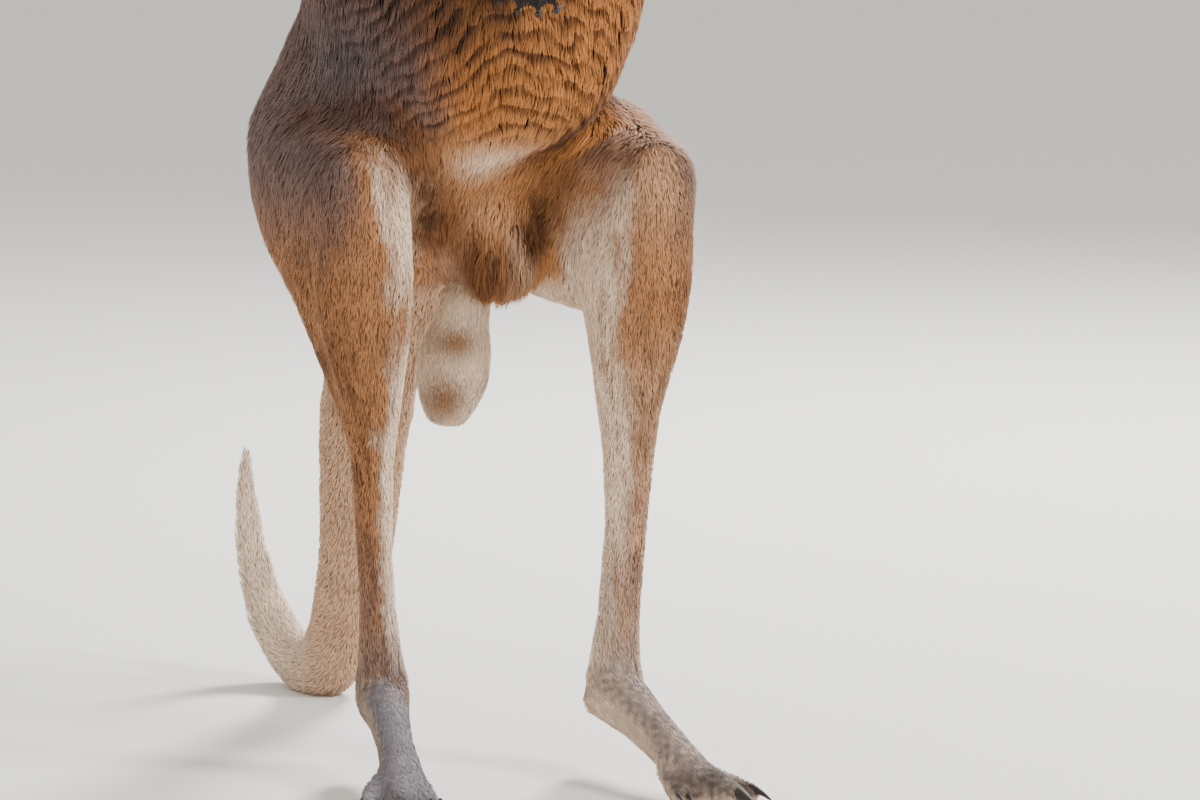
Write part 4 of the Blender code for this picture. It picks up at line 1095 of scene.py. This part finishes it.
def grow_coat(name, chosen, seed):
    """One piece of coat, rooted on the chosen faces of the hide."""
    dice = np.random.default_rng(seed)
    picked, shares = sprinkle(chosen, dice)
    count = len(picked)
    roots = at_roots(places, picked, shares)
    upward = unit(at_roots(normals, picked, shares))
    ways = at_roots(lie, picked, shares)
    ways = unit(ways - upward * (ways * upward).sum(1)[:, None])
    aside = np.cross(ways, upward)
    long = at_roots(lengths, picked, shares) * dice.uniform(*LONGER, count)
    wide = at_roots(widths, picked, shares) * dice.uniform(*WIDER, count)
    rise = at_roots(rises, picked, shares) * dice.uniform(*HIGHER, count)
    lift = at_roots(MASKS["ripple"], picked, shares)
    swing = 0.16 * drift(roots, 0.030, seed + 1) + 0.13 * dice.normal(size=count)
    ways = unit(ways + aside * swing[:, None])
    aside = np.cross(ways, upward)
    tips = roots + ways * long[:, None] + upward * rise[:, None]
    pull = to_leader(roots, tips, GATHER, dice)
    together = 0.20 + 0.32 * ramp(long, 0.012, 0.026)
    way_off = np.maximum(np.linalg.norm(pull, axis=1), 1e-6)
    strength = np.clip(0.50 * long / way_off, 0, together)
    bend = pull * strength[:, None]
    bend -= upward * (bend * upward).sum(1)[:, None] * 0.7

    belly = (roots + ways * (long * BELLY_AT)[:, None] + upward * (rise * 0.85)[:, None]
             + bend * BELLY_AT ** 2)
    half = aside * (wide * 0.5)[:, None]
    ridge = upward * (wide * 0.34)[:, None]
    sunk = roots - upward * (wide * 0.25)[:, None]
    points = np.stack([sunk, belly - half, belly + half, belly + ridge, tips + bend], axis=1)
    row = rows_at(points.reshape(-1, 3)).reshape(count, 5)
    proud = ROW_RELIEF * (1 - row % 1.0) * lift[:, None] * np.array([0, 1, 1, 1, 1])
    points += upward[:, None] * proud[:, :, None]
    triangles = (SPINDLE[None] + 5 * np.arange(count)[:, None, None]).reshape(-1, 3)
    coat = object_of(name, points, triangles)
    mesh = coat.data
    for label, values in MASKS.items():
        put(mesh, label, np.repeat(at_roots(values, picked, shares), 5))
    put(mesh, "tip", np.tile([0.0, 0.45, 0.45, 0.60, 1.0], count))
    put(mesh, "lock", np.repeat(dice.random(count), 5))
    put(mesh, "rows", row)

    # the normals are those of the hide, turned a little to each side
    around = np.stack([upward * 0, -aside, aside, upward * 0, upward * 0], axis=1)
    soft = unit(around * 0.50 + upward[:, None])
    only(coat)
    bpy.ops.object.shade_smooth()
    mesh.normals_split_custom_set_from_vertices(soft.reshape(-1, 3).tolist())

    lay_flat(mesh, triangles, unwrap_of(chosen)[picked], shares)
    mesh.materials.append(hair_coat)
    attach(coat, "root")
    print(name, count, "locks", len(triangles), "triangles")


# %% [markdown]
# Every lock also gets a tiny patch of a flat map, at the spot where its root is
# on the unrolled hide, so that its colours can be stored as a picture later. The
# hide of each region is unrolled with Smart UV Project for this.

# %% Unroll the hide region by region
PATCH = 0.003           # size of a lock's patch on the flat map
PATCH_SHAPE = np.array([(0.5, 0.0), (0.1, 0.45), (0.9, 0.45), (0.5, 0.60), (0.5, 1.0)])


def lay_flat(mesh, triangles, face_corners, shares):
    """Gives each lock its patch of the flat map, where its root is on the hide."""
    spots = (face_corners * shares[:, :, None]).sum(1)
    laid = spots[:, None] + (PATCH * PATCH_SHAPE)[None] - PATCH / 2
    layer = mesh.uv_layers.new(name="OFBake")
    layer.data.foreach_set(
        "uv", laid.reshape(-1, 2)[triangles.ravel()].astype(np.float32).ravel())


def unwrap_of(chosen):
    """Flat places of the corners of the chosen faces, as (face, corner, 2)."""
    if "roll" not in skin.data.uv_layers:
        skin.data.uv_layers.new(name="roll")
    skin.data.uv_layers.active = skin.data.uv_layers["roll"]
    pick_faces(skin, chosen)
    bpy.ops.uv.smart_project(angle_limit=math.radians(75), island_margin=0.002)
    bpy.ops.object.mode_set(mode="OBJECT")
    return read(skin.data.uv_layers["roll"].data, "uv", 2).reshape(-1, 3, 2)


for number, (name, chosen) in enumerate(REGIONS.items()):
    grow_coat(name, chosen, 100 + 10 * number)
skin.data.uv_layers.remove(skin.data.uv_layers["roll"])

# %% [markdown]
# ## Eyes
# The eye is a ball with a slightly steeper clear window in front. It is nearly
# all iris, a brown so dark that it reads as black until light falls in, with a
# round pupil. A coat of clear gloss stands for the wet window.


# %% Eyeballs
IRIS = (
    # place from the middle out, colour
    (0.20, (0.002, 0.0015, 0.001)), (0.27, (0.026, 0.011, 0.005)),
    (0.50, (0.016, 0.007, 0.003)), (0.66, (0.005, 0.003, 0.002)),
    (0.80, (0.018, 0.011, 0.009)), (1.0, (0.050, 0.030, 0.022)),
)
RINGS_END = 70          # degrees from the pupil's middle to the last colour
wet_eye, tree, colour_input = new_material("wet_eye", {
    "Roughness": 0.35, "Specular IOR Level": 0.05,
    "Coat Weight": 0.35, "Coat Roughness": 0.03})
fibres = math_node(tree, "SUBTRACT", noise(tree, 900.0, 2.0), 0.5)
ring = math_node(tree, "ADD", attribute_value(tree, "out_from_pupil"),
                 math_node(tree, "MULTIPLY", fibres, 0.10))
tree.links.new(colours_along(tree, ring, IRIS), colour_input)

for name, centre, way in (("eye_right", eye_right, -1), ("eye_left", eye_left, 1)):
    bpy.ops.object.select_all(action="DESELECT")
    bpy.ops.mesh.primitive_uv_sphere_add(
        segments=48, ring_count=32, radius=EYE_RADIUS, location=centre)
    ball = bpy.context.object
    ball.name = "eyeball_" + name.split("_")[1]
    bpy.ops.object.transform_apply(location=True, rotation=True, scale=True)
    look = unit(head_side * way * 0.88 + head_ahead * 0.42 + head_up * 0.05)
    spots = read(ball.data.vertices, "co")
    ray = unit(spots - np.array(centre))
    off = np.degrees(np.arccos(np.clip(ray @ look, -1, 1)))
    spots += ray * (0.0011 * ramp(off, 42, 12))[:, None]
    ball.data.vertices.foreach_set("co", spots.ravel())
    put(ball.data, "out_from_pupil", off / RINGS_END)
    ball.data.update()
    bpy.ops.object.shade_smooth()
    ball.data.materials.append(wet_eye)
    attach(ball, "root")
    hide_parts(name)
print("two eyes")

# %% [markdown]
# ## Claws
# The claws are horn, nearly black and worn dull. Copies of the claw solids are
# merged and given two rounds of Subdivision Surface, which takes the facets out
# of the curve, and the horn's fine grain is left to the material.

# %% Horn
HORN = ((0.30, (0.010, 0.008, 0.007)), (0.75, (0.045, 0.036, 0.030)))
SMOOTHEST, ROUGHEST = 0.48, 0.70
claw_horn, tree, colour_input = new_material("claw_horn", {"Specular IOR Level": 0.25})
grain = noise(tree, 420.0, 5.0)
tree.links.new(colours_along(tree, grain, HORN), colour_input)
wear = tree.nodes.new("ShaderNodeMapRange")
wear.inputs["To Min"].default_value, wear.inputs["To Max"].default_value = SMOOTHEST, ROUGHEST
tree.links.new(grain, wear.inputs["Value"])
tree.links.new(wear.outputs[0], tree.nodes["Principled BSDF"].inputs["Roughness"])
emboss(tree, grain, 0.35, 0.0004)

for group in ("toe_claw", "finger_claw"):
    for name in ("right", "left"):
        members = sorted(n for n in nodes if n.startswith(group) and n.endswith(name))
        claws = joined([copy_of(member, member + "_horn") for member in members])
        claws.name = f"{group}s_{name}"
        edit(claws, lambda: (bpy.ops.mesh.remove_doubles(threshold=1e-6),
                             bpy.ops.mesh.tris_convert_to_quads()))
        rounder = claws.modifiers.new("rounder", "SUBSURF")
        rounder.levels = rounder.render_levels = 2
        apply_all(claws)
        bpy.ops.object.shade_smooth()
        claws.data.materials.clear()
        claws.data.materials.append(claw_horn)
        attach(claws, "root")
        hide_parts(*members)
        print(claws.name, len(claws.data.polygons), "faces")

# %% [markdown]
# ## Floor, light and camera
# A pale floor and a pale room, a broad light from the front left, a weak one from
# the right, a low one that stands for the light thrown back by bright ground, and
# a strong one from behind that catches the hair at the edges. The camera stands
# well off with a long lens, low and a little to the animal's right, and sees only
# the lower body.

# %% Floor and room
FLOOR_COLOUR, ROOM_COLOUR = (0.84, 0.83, 0.79, 1), (0.98, 0.95, 0.91, 1)
ROOM_LIGHT = 0.95
bpy.ops.object.select_all(action="DESELECT")
bpy.ops.mesh.primitive_plane_add(size=30, location=(0, 0, 0))
floor = bpy.context.object
floor.name = "floor"
pale_floor = new_material("pale_floor", {"Base Color": FLOOR_COLOUR, "Roughness": 0.8})[0]
floor.data.materials.append(pale_floor)

world = bpy.data.worlds.new("pale_room")
world.use_nodes = True
room = world.node_tree.nodes["Background"]
room.inputs["Color"].default_value = ROOM_COLOUR
room.inputs["Strength"].default_value = ROOM_LIGHT
bpy.context.scene.world = world
print("floor and room")

# %% Lamps and camera
LAMPS = {
    # name: place, aimed at, size, power
    "key": ((3.0, -3.4, 3.6), (0, 0, 0.7), 1.6, 250),
    "fill": ((-3.6, -3.2, 1.8), (0, 0, 0.7), 3.0, 40),
    "bounce": ((-1.4, -4.0, 0.25), (0, 0, 0.45), 2.4, 48),
    "rim": ((2.4, 2.6, 3.2), (0, 0, 0.8), 1.2, 330),
}
for name, (place, aim, size, power) in LAMPS.items():
    lamp = bpy.data.lights.new(name, "AREA")
    lamp.shape, lamp.size, lamp.energy = "DISK", size, power
    light_at = bpy.data.objects.new(name, lamp)
    light_at.location = place
    light_at.rotation_euler = (Vector(aim) - Vector(place)).to_track_quat("-Z", "Y").to_euler()
    bpy.context.scene.collection.objects.link(light_at)

LENS, SENSOR = 181.35, 36.0                     # millimetres
CAMERA_AT = (-1.86427, -6.28515, 1.24905)
LOOKS_DOWN, TURNED = 7.5, -18                   # degrees
camera_data = bpy.data.cameras.new("camera")
camera_data.lens, camera_data.sensor_width = LENS, SENSOR
camera = bpy.data.objects.new("camera", camera_data)
camera.location = CAMERA_AT
camera.rotation_euler = (math.radians(90 - LOOKS_DOWN), 0, math.radians(TURNED))
bpy.context.scene.collection.objects.link(camera)
bpy.context.scene.camera = camera
print(len(LAMPS), "lamps, and a lens of", LENS, "mm")
